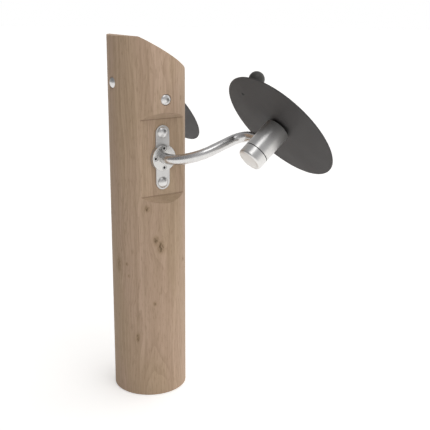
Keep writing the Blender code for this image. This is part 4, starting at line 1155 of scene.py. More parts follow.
nut_places = [bolt_place((1, 0, 0), BOLT_SEAT, rise) for rise in CLAMP_HEIGHTS]
nut_places += [bolt_place((1, 0, 0), TIE_SEAT, SIDE_TIE_Z), bolt_place((0, -1, 0), TIE_SEAT, FRONT_TIE_Z)]
nut_nodes = ("upper_clamp_nut", "lower_clamp_nut", "side_tie_nut", "front_tie_nut")
dome_nuts = set_out(nut_blank(), nut_places, BRIGHT_FASTENER)
seat(dome_nuts, "dome_nuts", Matrix.Identity(4), BRIGHT_FASTENER, FIXED, nut_nodes)

# %% [markdown]
# ## Plate and flange
#
# The plate is laser-cut: a strip with round ends that swells to a disc behind the flange. Its outline is
# arcs and their fillets, mirrored twice. The flange is turned, with a face that falls a little from the
# tube's socket to the rim. Its four screws sit in counterbores, so each one shows a thin crescent of its
# own wall on the tube's side. Booleans cut them, since the line where they break through the sloping face
# is no simple curve.

# %% Plates
FLANGE_SCREW_CIRCLE = 0.0315
FLANGE_SCREW_RADIUS = 0.005
PLATE_EDGE = 0.0008
BOSS_STEPS = 14
FILLET_STEPS = 6
END_STEPS = 16


def plate_outline():
    """Strip with round ends and a round middle, filleted where they meet."""
    half_width = PLATE_WIDTH / 2
    end_centre = PLATE_BOLT_SPACING / 2 + PLATE_END_MARGIN - half_width
    fillet_x = half_width + PLATE_FILLET
    fillet_y = math.sqrt((PLATE_BOSS_RADIUS + PLATE_FILLET) ** 2 - fillet_x**2)
    meeting = math.atan2(fillet_y, fillet_x)
    quarter = arc((0, 0), PLATE_BOSS_RADIUS, 0, meeting, BOSS_STEPS)
    quarter += arc((fillet_x, fillet_y), PLATE_FILLET, math.pi + meeting, math.pi, FILLET_STEPS)[1:]
    quarter += arc((0, end_centre), half_width, 0, math.pi / 2, END_STEPS)
    mirrored = [(-x, y) for x, y in reversed(quarter)]
    upper = quarter + mirrored[1:]
    return upper + [(-x, -y) for x, y in upper[1:-1]]


def screw_spots():
    """The four screws' places on the flange."""
    ways = ((1, 0), (0, 1), (-1, 0), (0, -1))
    return [Matrix.Translation((x * FLANGE_SCREW_CIRCLE, y * FLANGE_SCREW_CIRCLE, 0)) for x, y in ways]


for label, bracket in BRACKETS.items():
    neck_hole = BOLT_NECK_WIDTH / 2 + SEAT_GAP
    below = PLATE_BACK - CUT_PAST
    above = PLATE_FACE + CUT_PAST
    cutters = []
    for y in (PLATE_BOLT_SPACING / 2, -PLATE_BOLT_SPACING / 2):
        cutters.append(block((-neck_hole, y - neck_hole, below), (neck_hole, y + neck_hole, above)))
    hole = FLANGE_SCREW_RADIUS + SEAT_GAP
    cutters += [drilled([(hole, below), (hole, above)], spot) for spot in screw_spots()]
    plate = carve(work_object(slab(plate_outline(), PLATE_BACK, PLATE_FACE)), cutters)
    round_edges(plate, PLATE_EDGE)
    settle(plate, "plate_" + label, bracket, SATIN_PLATE, STEEL_SLOT, FIXED, "mounting_plate_" + label)

# %% Flanges
FLANGE_RADIUS = 0.0425
FLANGE_RIM = 0.0085
FLANGE_HEIGHT = 0.0100
FLANGE_TOP_MARGIN = 0.0008
FLANGE_CROWN = 1.4
FLANGE_EDGE = 0.0006
FACE_STEPS = 18
FLANGE_SCREW_HEAD_RADIUS = 0.008
FLANGE_SCREW_HEAD_HEIGHT = 0.006
FLANGE_SCREW_FLOOR = 0.0025
RUNNING_GAP = 0.0005
FINE_SIDES = 128


def flange_profile():
    """Section of the flange, from its socket over the sloping face to its back."""
    socket = TUBE_RADIUS + SEAT_GAP
    inner = socket + FLANGE_TOP_MARGIN
    profile = [(0, FLANGE_BACK + FLANGE_SOCKET_FLOOR), (socket, FLANGE_BACK + FLANGE_SOCKET_FLOOR)]
    profile.append((socket, FLANGE_BACK + FLANGE_HEIGHT))
    for step in range(FACE_STEPS + 1):
        share = step / FACE_STEPS
        rise = (FLANGE_HEIGHT - FLANGE_RIM) * (1 - share**FLANGE_CROWN)
        profile.append((inner + (FLANGE_RADIUS - inner) * share, FLANGE_BACK + FLANGE_RIM + rise))
    return profile + [(FLANGE_RADIUS, FLANGE_BACK), (0, FLANGE_BACK)]


for label, bracket in BRACKETS.items():
    floor_at = FLANGE_BACK + FLANGE_SCREW_FLOOR
    recess = FLANGE_SCREW_HEAD_RADIUS + RUNNING_GAP
    hole = FLANGE_SCREW_RADIUS + SEAT_GAP
    counterbore = [
        (hole, FLANGE_BACK - CUT_PAST),
        (hole, floor_at),
        (recess, floor_at),
        (recess, FLANGE_BACK + FLANGE_HEIGHT + CUT_PAST),
    ]
    cutters = [drilled(counterbore, spot) for spot in screw_spots()]
    blank = work_object(turned(soften(flange_profile(), FLANGE_EDGE), FINE_SIDES))
    flange = creased(carve(blank, cutters))
    settle(flange, "flange_" + label, bracket, SATIN_FLANGE, STEEL_SLOT, FIXED, "arm_flange_" + label)

# %% [markdown]
# ## Socket screws
#
# A hexagon socket is a pocket, so the screw is skinned from rings that go up the shank, out under the head,
# over its edge and down inside the hexagon. One blank serves both flanges.

# %% Flange screws
SCREW_SIDES = 48
SCREW_EDGE = 0.0005
FLANGE_SCREW_KEY = 0.008
KEY_DEPTH_SHARE = 0.6
# How far out the key socket's painted shade reaches, as a share of the key, and how far below the top it
# starts.
SOCKET_SHADE_REACH = 0.56
SOCKET_SHADE_BELOW = 0.0002


def socket_screw(tip, seat_at, radius, head_radius, head_height, key):
    """A cylinder-head screw with a hexagon socket and a broken edge."""
    edge = SCREW_EDGE
    top = seat_at + head_height
    half = key / 2
    floor_at = top - KEY_DEPTH_SHARE * head_height
    rings = [
        ring(radius - edge, tip, SCREW_SIDES),
        ring(radius, tip + edge, SCREW_SIDES),
        ring(radius, seat_at, SCREW_SIDES),
        ring(head_radius, seat_at, SCREW_SIDES),
        ring(head_radius, top - edge, SCREW_SIDES),
        ring(head_radius - edge * 0.3, top - edge * 0.3, SCREW_SIDES),
        ring(head_radius - edge, top, SCREW_SIDES),
        ring(half + edge * 0.8, top, SCREW_SIDES),
        ring(half, top - edge * 0.6, SCREW_SIDES, 6),
        ring(half, floor_at, SCREW_SIDES, 6),
        ring(half * 0.5, floor_at - edge, SCREW_SIDES),
    ]
    return blank_mesh(creased(work_object(skinned(rings))))


screw_seat = FLANGE_BACK + FLANGE_SCREW_FLOOR + SEAT_GAP
screw_blank = socket_screw(
    PLATE_BACK,
    screw_seat,
    FLANGE_SCREW_RADIUS,
    FLANGE_SCREW_HEAD_RADIUS,
    FLANGE_SCREW_HEAD_HEIGHT,
    FLANGE_SCREW_KEY,
)
screw_places = [bracket @ spot for bracket in BRACKETS.values() for spot in screw_spots()]
where_on_flange = ("top", "bottom", "front", "back")
screw_nodes = [f"flange_screw_{where}_{label}" for label in BRACKETS for where in where_on_flange]
# The key socket's painted shade: its radius, and the height below which it is painted.
painted_socket_shade = (FLANGE_SCREW_KEY * SOCKET_SHADE_REACH, screw_seat + FLANGE_SCREW_HEAD_HEIGHT - SOCKET_SHADE_BELOW)
SCREW_STEEL = worked_steel(
    "socket_screw_steel", (206, 205, 204), (0.24, 0.34), 0.0006, 0.00001, socket=painted_socket_shade
)
flange_screws = set_out(screw_blank, screw_places, SCREW_STEEL)
seat(flange_screws, "flange_screws", Matrix.Identity(4), SCREW_STEEL, FIXED, screw_nodes)

# %% [markdown]
# ## Bent arms
#
# A tube bender works from straight lengths and bend radii, and so does this tree: four points make a bent
# line, Fillet Curve rounds each corner to its own radius, and a circle is swept along it. The tree also
# writes each point's place on the straight tube, before bending, into `own`, so that the polish lines run
# round the tube all the way. Solidify then gives it its wall.


# %% A tree that bends tube
def bent_tube_tree():
    """Geometry Nodes: a tube along four points, with a bend radius at each of the two corners."""
    wanted = (
        ("Start", "Vector"),
        ("Inner Corner", "Vector"),
        ("Outer Corner", "Vector"),
        ("End", "Vector"),
        ("Inner Bend Radius", "Float"),
        ("Outer Bend Radius", "Float"),
        ("Steps in a Bend", "Int"),
        ("Tube Radius", "Float"),
        ("Sides", "Int"),
        ("Finish", "Material"),
    )
    tree, names = new_tree("bent_tube", wanted, "Tube")
    given = add_node(tree, "NodeGroupInput").outputs
    index = add_node(tree, "GeometryNodeInputIndex").outputs[0]

    def chosen(kind, values):
        """Picks a value by the point's number."""
        switch = add_node(tree, "GeometryNodeIndexSwitch", data_type=kind)
        while len(switch.index_switch_items) < len(values):
            switch.index_switch_items.new()
        tree.links.new(index, switch.inputs["Index"])
        for number, value in enumerate(values):
            if value is not None:
                tree.links.new(value, switch.inputs[str(number)])
        return switch.outputs[0]

    def stored(geometry, name, kind, value):
        """Writes a value on each point under a name."""
        inputs = {"Geometry": geometry, "Name": name, "Value": value}
        settings = {"data_type": kind, "domain": "POINT"}
        return add_node(tree, "GeometryNodeStoreNamedAttribute", inputs, **settings).outputs[0]

    def remembered(name, kind):
        """Reads back what was stored under a name."""
        node = add_node(tree, "GeometryNodeInputNamedAttribute", {"Name": name}, data_type=kind)
        return node.outputs["Attribute"]

    line = add_node(tree, "GeometryNodeMeshLine", {"Count": 4})
    corners = chosen("VECTOR", [given[name] for name, _ in wanted[:4]])
    shaped = add_node(tree, "GeometryNodeSetPosition", {"Geometry": line.outputs[0], "Position": corners})
    rail = add_node(tree, "GeometryNodeMeshToCurve", {"Mesh": shaped.outputs[0]})
    radii = chosen("FLOAT", [None, given["Inner Bend Radius"], given["Outer Bend Radius"], None])
    bends = {"Curve": rail.outputs[0], "Count": given["Steps in a Bend"], "Radius": radii}
    bent = add_node(tree, "GeometryNodeFilletCurve", bends, mode="POLY")
    run = add_node(tree, "GeometryNodeSplineParameter").outputs["Length"]
    measured = stored(bent.outputs[0], "run", "FLOAT", run)
    round_section = {"Resolution": given["Sides"], "Radius": given["Tube Radius"]}
    circle = add_node(tree, "GeometryNodeCurvePrimitiveCircle", round_section)
    around = add_node(tree, "GeometryNodeInputPosition").outputs[0]
    section = stored(circle.outputs[0], "section", "FLOAT_VECTOR", around)
    swept = add_node(tree, "GeometryNodeCurveToMesh", {"Curve": measured, "Profile Curve": section})
    length = add_node(tree, "ShaderNodeCombineXYZ", {"Z": remembered("run", "FLOAT")})
    halves = {0: remembered("section", "FLOAT_VECTOR"), 1: length.outputs[0]}
    own = add_node(tree, "ShaderNodeVectorMath", halves, operation="ADD")
    kept = stored(swept.outputs[0], "own", "FLOAT_VECTOR", own.outputs[0])
    smooth = add_node(tree, "GeometryNodeSetShadeSmooth", {"Geometry": kept})
    hand_out(tree, smooth.outputs[0], given["Finish"], "Tube")
    return tree, names


BENT_TUBE, TUBE_INPUTS = bent_tube_tree()

# %% Arms
BEND_STEPS = 40
TUBE_SIDES = 72

for label, side in SIDES:
    start, inner_corner, outer_corner, end = (tuple(corner) for corner in arm_corners(side))
    values = {
        "Start": start,
        "Inner Corner": inner_corner,
        "Outer Corner": outer_corner,
        "End": end,
        "Inner Bend Radius": INNER_BEND_RADIUS,
        "Outer Bend Radius": OUTER_BEND_RADIUS,
        "Steps in a Bend": BEND_STEPS,
        "Tube Radius": TUBE_RADIUS,
        "Sides": TUBE_SIDES,
        "Finish": POLISHED_TUBE,
    }
    bent = bmesh.new()
    bent.from_mesh(run_tree(BENT_TUBE, TUBE_INPUTS, values, bpy.data.meshes.new("tube_work")))
    tube = work_object(bent, "tube_work")
    wall = tube.modifiers.new("wall", "SOLIDIFY")
    wall.thickness = TUBE_WALL
    wall.offset = -1.0
    mesh = frozen(tube)
    mesh.set_sharp_from_angle(angle=SHARP_ABOVE)
    place = BRACKETS[label]
    seat(mesh, "arm_" + label, place, POLISHED_TUBE, FIXED, ["arm_tube_" + label])

# %% [markdown]
# ## Hub
#
# The hub is a small machine. A turned housing holds two ball bearings, a sleeve keeps their inner rings
# apart, and an open spring ring stops the front one from walking out. The flanged spindle passes through
# both and a slotted nut behind them pulls everything tight. A cap with a spigot closes the back. Nearly all
# of it is turned work, so most of its pieces are profiles. The housing has one more cut, the socket that
# takes the arm.

# %% Hub sizes
DISC_GAP = 0.0085
HOUSING_CHAMFER = 0.0009
JOINT_GROOVE_WIDTH = 0.0012
JOINT_GROOVE_DEPTH = 0.003
HOUSING_SHOULDER = 0.0040
BEARING_BORE_RADIUS = 0.015
BEARING_OUTER_RADIUS = 0.031
BEARING_WIDTH = 0.016
SPACER_LENGTH = 0.050
SPACER_WALL = 0.0035
SPINDLE_FLANGE_RADIUS = 0.033
SPINDLE_FLANGE_THICKNESS = 0.0115
SPINDLE_SHOULDER_RADIUS = 0.019
SPINDLE_SHOULDER_LENGTH = 0.0124
SPINDLE_TAIL = 0.002
FLANGE_RUNNING_GAP = 0.0010
RING_WIDTH = 0.0015
RING_DEPTH = 0.0040
RING_LUG = 0.0025
GROOVE_DEPTH = 0.0017
CAP_LENGTH = 0.0350
CAP_SPIGOT_LENGTH = 0.0050
CAP_WALL = 0.0060
CAP_END_WALL = 0.0085
CAP_RIM_RADIUS = 0.007
LOCK_NUT_RADIUS = 0.0225
LOCK_NUT_THICKNESS = 0.007

housing_bore = BEARING_OUTER_RADIUS + SEAT_GAP
spindle_radius = BEARING_BORE_RADIUS - SEAT_GAP
spindle_flange_back = -SEAT_GAP - SPINDLE_FLANGE_THICKNESS
shoulder_back = spindle_flange_back - SPINDLE_SHOULDER_LENGTH
front_bearing = shoulder_back - SEAT_GAP
spacer_front = front_bearing - BEARING_WIDTH - SEAT_GAP
spacer_back = spacer_front - SPACER_LENGTH
rear_bearing = spacer_back - SEAT_GAP
cap_spigot = rear_bearing - BEARING_WIDTH - SEAT_GAP
cap_front = cap_spigot - CAP_SPIGOT_LENGTH
housing_back = cap_front + SEAT_GAP
cap_back = cap_front - CAP_LENGTH
BEARING_SLOT = "bearing_steel"
BLACK_SLOT = "black_oxide_steel"
print("hub length:", round(-cap_back * 1000, 1), "mm")


# %% Housings and caps
HOUSING_EDGE = 0.0004
CAP_EDGE = 0.0008
CAP_RIM_STEPS = 12
JOINT_SHADE_REACH = 0.0006
# The hub's painted shade in its joint line, from a little before the groove to a little past it.
painted_joint_shade = (housing_back - JOINT_SHADE_REACH, housing_back + JOINT_GROOVE_WIDTH + JOINT_SHADE_REACH)
BRUSHED_HUB = worked_steel(
    "brushed_hub_steel", (224, 223, 221), (0.27, 0.33), 0.0004, 0.000004, joint=painted_joint_shade
)


def housing_profile():
    """Section of the housing, round its outside and back through its bore."""
    front = -DISC_GAP
    recess = SPINDLE_FLANGE_RADIUS + FLANGE_RUNNING_GAP
    recess_floor = spindle_flange_back - FLANGE_RUNNING_GAP
    groove = housing_bore + GROOVE_DEPTH
    groove_front = front_bearing + RING_WIDTH + 2 * SEAT_GAP
    middle_bore = housing_bore - HOUSING_SHOULDER
    return [
        (HUB_RADIUS - HOUSING_CHAMFER, front),
        (HUB_RADIUS, front - HOUSING_CHAMFER),
        (HUB_RADIUS, housing_back + JOINT_GROOVE_WIDTH),
        (HUB_RADIUS - JOINT_GROOVE_DEPTH, housing_back + JOINT_GROOVE_WIDTH),
        (HUB_RADIUS - JOINT_GROOVE_DEPTH, housing_back),
        (housing_bore, housing_back),
        (housing_bore, spacer_back),
        (middle_bore, spacer_back),
        (middle_bore, spacer_front),
        (housing_bore, spacer_front),
        (housing_bore, front_bearing),
        (groove, front_bearing),
        (groove, groove_front),
        (housing_bore, groove_front),
        (housing_bore, recess_floor),
        (recess, recess_floor),
        (recess, front),
    ]


cap_profile = [
    (0, cap_back + CAP_END_WALL),
    (BEARING_OUTER_RADIUS - CAP_WALL, cap_back + CAP_END_WALL),
    (BEARING_OUTER_RADIUS - CAP_WALL, cap_spigot),
    (BEARING_OUTER_RADIUS, cap_spigot),
    (BEARING_OUTER_RADIUS, cap_front),
    (HUB_RADIUS, cap_front),
]
rim_centre = (HUB_RADIUS - CAP_RIM_RADIUS, cap_back + CAP_RIM_RADIUS)
cap_profile += arc(rim_centre, CAP_RIM_RADIUS, 0, -math.pi / 2, CAP_RIM_STEPS)
cap_profile.append((0, cap_back))

for label, hub in HUBS.items():
    socket_place = axes_matrix((0, 0, 1), (-1, 0, 0), (0, 0, ARM_SEAT))
    socket_radius = TUBE_RADIUS + SEAT_GAP
    socket_profile = [(socket_radius, ARM_SOCKET_FLOOR), (socket_radius, HUB_RADIUS + CUT_PAST)]
    blank = work_object(turned(soften(housing_profile(), HOUSING_EDGE), FINE_SIDES))
    housing = creased(carve(blank, [drilled(socket_profile, socket_place)]))
    settle(housing, "housing_" + label, hub, BRUSHED_HUB, STEEL_SLOT, FIXED, "hub_housing_" + label)
    cap = work_object(turned(soften(cap_profile, CAP_EDGE), FINE_SIDES))
    settle(cap, "cap_" + label, hub, BRUSHED_HUB, STEEL_SLOT, FIXED, "hub_cap_" + label)

# %% [markdown]
# ## Bearings
#
# Each bearing is an outer ring, an inner ring and eight balls that a pressed cage keeps apart. The grooves
# are arcs a little wider than the balls. Geometry Nodes set the balls: a circle of points on the pitch
# radius, one ball and one cage pocket on each, turned to face outwards.

# %% Bearing rings
BALL_RADIUS = 0.0044
BALL_COUNT = 8
RACE_GAP = 0.0006
LAND_FROM_PITCH = 0.0034
RACE_EDGE = 0.0006
RACE_STEPS = 12
bearing_pitch = (BEARING_BORE_RADIUS + BEARING_OUTER_RADIUS) / 2


def bearing_ring(outward):
    """Section of a bearing ring with its ball groove: outward is 1 for the outer ring, -1 for the inner."""
    half = BEARING_WIDTH / 2
    groove = BALL_RADIUS + RACE_GAP
    reach = math.acos(LAND_FROM_PITCH / groove)
    land = bearing_pitch + outward * LAND_FROM_PITCH
    back = BEARING_OUTER_RADIUS if outward > 0 else BEARING_BORE_RADIUS
    profile = [(land, -half)]
    for step in range(RACE_STEPS + 1):
        angle = reach * (2 * step / RACE_STEPS - 1)
        profile.append((bearing_pitch + outward * groove * math.cos(angle), groove * math.sin(angle)))
    return profile + [(land, half), (back, half), (back, -half)]


bearing_places = {"front": front_bearing - BEARING_WIDTH / 2, "rear": rear_bearing - BEARING_WIDTH / 2}
for label, hub in HUBS.items():
    for where, height_now in bearing_places.items():
        place = hub @ Matrix.Translation((0, 0, height_now))
        for kind, outward, body in (("outer", 1, FIXED), ("inner", -1, "disc_" + label)):
            work = work_object(turned(soften(bearing_ring(outward), RACE_EDGE)))
            name = f"{where}_{kind}_race_{label}"
            node = f"{where}_bearing_{kind}_ring_{label}"
            settle(work, name, place, GROUND_BEARING, BEARING_SLOT, body, node)


# %% A tree that sets balls in a ring
def ball_ring_tree():
    """Geometry Nodes: blanks on a circle of points, each turned to face outwards."""
    wanted = (
        ("Blank", "Object"),
        ("Pitch Radius", "Float"),
        ("Count", "Int"),
        ("Height", "Float"),
        ("Finish", "Material"),
    )
    tree, names = new_tree("ball_ring", wanted, "Balls")
    given = add_node(tree, "NodeGroupInput").outputs
    pitch_circle = {"Vertices": given["Count"], "Radius": given["Pitch Radius"]}
    circle = add_node(tree, "GeometryNodeMeshCircle", pitch_circle)
    outward = add_node(tree, "GeometryNodeInputPosition").outputs[0]
    aligned = {"axis": "X", "pivot_axis": "Z"}
    facing = add_node(tree, "FunctionNodeAlignRotationToVector", {"Vector": outward}, **aligned)
    blank = add_node(tree, "GeometryNodeObjectInfo", {"Object": given["Blank"], "As Instance": True})
    around = {"Points": circle.outputs[0], "Instance": blank.outputs["Geometry"]}
    around["Rotation"] = facing.outputs[0]
    placed = add_node(tree, "GeometryNodeInstanceOnPoints", around)
    upwards = add_node(tree, "ShaderNodeCombineXYZ", {"Z": given["Height"]})
    lift = {"Geometry": placed.outputs[0], "Translation": upwards.outputs[0]}
    lifted = add_node(tree, "GeometryNodeTransform", lift)
    hand_out(tree, lifted.outputs[0], given["Finish"], "Balls")
    return tree, names


BALL_RING, BALL_INPUTS = ball_ring_tree()

# %% Balls and cages
POCKET_INNER_RADIUS = BALL_RADIUS * 0.93
POCKET_OUTER_RADIUS = 0.0052
POCKET_HALF_WIDTH = 0.0012
POCKET_EDGE = 0.0003
POCKET_SIDES = 32
BAR_HALF_DEPTH = 0.0009
BAR_HALF_WIDTH = 0.0013
BAR_START = 0.0050
BAR_STEPS = 6


def add_part(bm, part):
    """Adds a second shape to a shape."""
    holder = bpy.data.meshes.new("part")
    part.to_mesh(holder)
    part.free()
    bm.from_mesh(holder)
    bpy.data.meshes.remove(holder)


def ball_blank():
    """A ball in its cage pocket, at the origin, facing +X, with the bar that leads to the next pocket."""
    bm = bmesh.new()
    bmesh.ops.create_icosphere(bm, subdivisions=3, radius=BALL_RADIUS)
    pocket_profile = [
        (POCKET_INNER_RADIUS, -POCKET_HALF_WIDTH),
        (POCKET_OUTER_RADIUS, -POCKET_HALF_WIDTH),
        (POCKET_OUTER_RADIUS, POCKET_HALF_WIDTH),
        (POCKET_INNER_RADIUS, POCKET_HALF_WIDTH),
    ]
    pocket = turned(soften(pocket_profile, POCKET_EDGE), POCKET_SIDES)
    bmesh.ops.transform(pocket, matrix=Matrix.Rotation(math.pi / 2, 4, "Y"), verts=pocket.verts)
    add_part(bm, pocket)
    half = math.pi / BALL_COUNT
    start = math.asin(BAR_START / bearing_pitch)
    centre = (-bearing_pitch, 0)
    outline = arc(centre, bearing_pitch - BAR_HALF_DEPTH, start, 2 * half - start, BAR_STEPS)
    outline += arc(centre, bearing_pitch + BAR_HALF_DEPTH, 2 * half - start, start, BAR_STEPS)
    add_part(bm, slab(outline, -BAR_HALF_WIDTH, BAR_HALF_WIDTH))
    return blank_mesh(creased(work_object(bm)))


ball_mesh = ball_blank()
for label, hub in HUBS.items():
    rings_made = bmesh.new()
    for height_now in bearing_places.values():
        blank = linked("ball_blank", ball_mesh)
        values = {
            "Blank": blank,
            "Pitch Radius": bearing_pitch,
            "Count": BALL_COUNT,
            "Height": height_now,
            "Finish": GROUND_BEARING,
        }
        rings_made.from_mesh(run_tree(BALL_RING, BALL_INPUTS, values, bpy.data.meshes.new("balls_work")))
        bpy.data.objects.remove(blank)
    both = bpy.data.meshes.new("balls")
    rings_made.to_mesh(both)
    rings_made.free()
    both.shade_smooth()
    ball_nodes = [f"{where}_bearing_balls_{label}" for where in bearing_places]
    seat(both, "balls_" + label, hub, GROUND_BEARING, "ball_set_" + label, ball_nodes)

# %% [markdown]
# ## Spindle, sleeve, spring ring and lock nut
#
# These sit inside the housing and can't be seen in the photograph, but they are what makes the disc run
# true. The spring ring is sprung into its groove with pliers, so its ends are thickened to lugs.

# %% Spindles and sleeves
DISC_THICKNESS = 0.004
CLAMP_THICKNESS = 0.006
CENTRE_SCREW_RADIUS = 0.005
CENTRE_SCREW_LENGTH = 0.024
DRILL_PAST = 0.004
SHAFT_EDGE = 0.0005
disc_face = DISC_THICKNESS + SEAT_GAP
clamp_face = disc_face + CLAMP_THICKNESS

tapped = CENTRE_SCREW_RADIUS + SEAT_GAP
tapped_floor = clamp_face + SEAT_GAP - CENTRE_SCREW_LENGTH - DRILL_PAST
spindle_tail = cap_spigot - LOCK_NUT_THICKNESS - SPINDLE_TAIL
spindle_profile = [
    (0, tapped_floor),
    (tapped, tapped_floor),
    (tapped, DISC_THICKNESS - SEAT_GAP),
    (spindle_radius, DISC_THICKNESS - SEAT_GAP),
    (spindle_radius, -SEAT_GAP),
    (SPINDLE_FLANGE_RADIUS, -SEAT_GAP),
    (SPINDLE_FLANGE_RADIUS, spindle_flange_back),
    (SPINDLE_SHOULDER_RADIUS, spindle_flange_back),
    (SPINDLE_SHOULDER_RADIUS, shoulder_back),
    (spindle_radius, shoulder_back),
    (spindle_radius, spindle_tail),
    (0, spindle_tail),
]
sleeve_outer = BEARING_BORE_RADIUS + SPACER_WALL
sleeve_profile = [
    (BEARING_BORE_RADIUS, spacer_back),
    (BEARING_BORE_RADIUS, spacer_front),
    (sleeve_outer, spacer_front),
    (sleeve_outer, spacer_back),
]
for label, hub in HUBS.items():
    body = "disc_" + label
    shaft = work_object(turned(soften(spindle_profile, SHAFT_EDGE)))
    settle(shaft, "shaft_" + label, hub, BLACK_SPINDLE, BLACK_SLOT, body, "spindle_" + label)
    sleeve = work_object(turned(soften(sleeve_profile, SHAFT_EDGE)))
    settle(sleeve, "sleeve_" + label, hub, GROUND_BEARING, BEARING_SLOT, body, "bearing_spacer_" + label)


# %% Spring rings and lock nuts
SPRING_EDGE = 0.0002
LOCK_NUT_EDGE = 0.0003
LOCK_SLOT_DEPTH = 0.0022
LOCK_SLOT_WIDTH = 0.005


def spring_ring_outline():
    """Open ring whose two ends are thickened inwards to lugs."""
    outer = housing_bore + GROOVE_DEPTH - SEAT_GAP
    inner = outer - RING_DEPTH
    lug = inner - RING_LUG
    first = math.tau / 20
    outline = arc((0, 0), outer, first, math.tau - first, 90)
    outline += arc((0, 0), lug, math.tau - first, math.tau - 2 * first, 5)
    outline += arc((0, 0), inner, math.tau - 2 * first, 2 * first, 80)
    return outline + arc((0, 0), lug, 2 * first, first, 5)


spring_back = front_bearing + SEAT_GAP
nut_back = cap_spigot - LOCK_NUT_THICKNESS
nut_profile = [
    (BEARING_BORE_RADIUS, nut_back),
    (BEARING_BORE_RADIUS, cap_spigot),
    (LOCK_NUT_RADIUS, cap_spigot),
    (LOCK_NUT_RADIUS, nut_back),
]


def lock_nut_slots():
    """The cutters of the four slots round the nut."""
    slots = []
    low = (LOCK_NUT_RADIUS - LOCK_SLOT_DEPTH, -LOCK_SLOT_WIDTH / 2, nut_back - CUT_PAST)
    high = (LOCK_NUT_RADIUS + CUT_PAST, LOCK_SLOT_WIDTH / 2, cap_spigot + CUT_PAST)
    for quarter in range(4):
        slot = block(low, high)
        turn = Matrix.Rotation(math.pi / 2 * quarter, 3, "Z")
        bmesh.ops.rotate(slot, matrix=turn, verts=slot.verts)
        slots.append(slot)
    return slots


for label, hub in HUBS.items():
    spring = work_object(slab(spring_ring_outline(), spring_back, spring_back + RING_WIDTH))
    round_edges(spring, SPRING_EDGE, 2)
    name = "spring_ring_" + label
    settle(spring, name, hub, GROUND_BEARING, BEARING_SLOT, FIXED, "retaining_ring_" + label)
    lock_nut = round_edges(carve(work_object(turned(nut_profile)), lock_nut_slots()), LOCK_NUT_EDGE, 2)
    name = "slotted_nut_" + label
    settle(lock_nut, name, hub, GROUND_BEARING, BEARING_SLOT, "disc_" + label, "lock_nut_" + label)

# %% [markdown]
# ## Disc and its clamp
#
# The disc is a thin turned sheet with a bore for the spindle and one countersunk hole for the knob's screw.
# Its rim is rounded so that it never cuts a hand. In front, a round plate and one button-head screw hold it
# on the spindle.

# %% Discs
DISC_RADIUS = 0.204
DISC_EDGE = 0.0012
DISC_SIDES = 256
KNOB_ORBIT = 0.1528
KNOB_REST_ANGLE = math.radians(33.4)
KNOB_SCREW_RADIUS = 0.003
KNOB_SCREW_HEAD_RADIUS = 0.0056
KNOB_SCREW_HEAD_RIM = 0.0003
KNOB_SCREW_LENGTH = 0.018
PLASTIC_SLOT = "dark_grey_plastic"


def knob_spot(side):
    """Where the knob's axis crosses the disc at rest."""
    inward = KNOB_ORBIT * math.sin(KNOB_REST_ANGLE)
    uphill = KNOB_ORBIT * math.cos(KNOB_REST_ANGLE)
    return Matrix.Translation((-inward, side * uphill, 0))


disc_profile = [
    (BEARING_BORE_RADIUS, 0),
    (BEARING_BORE_RADIUS, DISC_THICKNESS),
    (DISC_RADIUS, DISC_THICKNESS),
    (DISC_RADIUS, 0),
]
cone_depth = KNOB_SCREW_HEAD_RIM + KNOB_SCREW_HEAD_RADIUS - KNOB_SCREW_RADIUS
countersink = [
    (KNOB_SCREW_HEAD_RADIUS + SEAT_GAP, -CUT_PAST / 2),
    (KNOB_SCREW_HEAD_RADIUS + SEAT_GAP, KNOB_SCREW_HEAD_RIM),
    (KNOB_SCREW_RADIUS + SEAT_GAP, cone_depth),
    (KNOB_SCREW_RADIUS + SEAT_GAP, DISC_THICKNESS + CUT_PAST / 2),
]
for label, side in SIDES:
    blank = work_object(turned(soften(disc_profile, DISC_EDGE), DISC_SIDES))
    disc = creased(carve(blank, [drilled(countersink, knob_spot(side))]))
    body = "disc_" + label
    settle(disc, "hand_disc_" + label, HUBS[label], DISC_PLASTIC, PLASTIC_SLOT, body, "disc_" + label)

# %% Clamp plates and centre screws
CLAMP_RADIUS = 0.030
CLAMP_EDGE = 0.002
CLAMP_SOFTENING = 0.0006
CENTRE_SCREW_HEAD_RADIUS = 0.00875
CENTRE_SCREW_HEAD_HEIGHT = 0.0055
CENTRE_SCREW_HEAD_RIM = 0.0006
CENTRE_SCREW_POINT = 0.0006
CENTRE_SCREW_DOME = math.radians(60)
CENTRE_SCREW_STEPS = 8
CENTRE_SCREW_KEY = 0.006
KEY_MOUTH = 0.0003

clamp_profile = [
    (tapped, disc_face),
    (CLAMP_RADIUS, disc_face),
    (CLAMP_RADIUS, clamp_face - CLAMP_EDGE),
    (CLAMP_RADIUS - CLAMP_EDGE, clamp_face),
    (tapped, clamp_face),
]


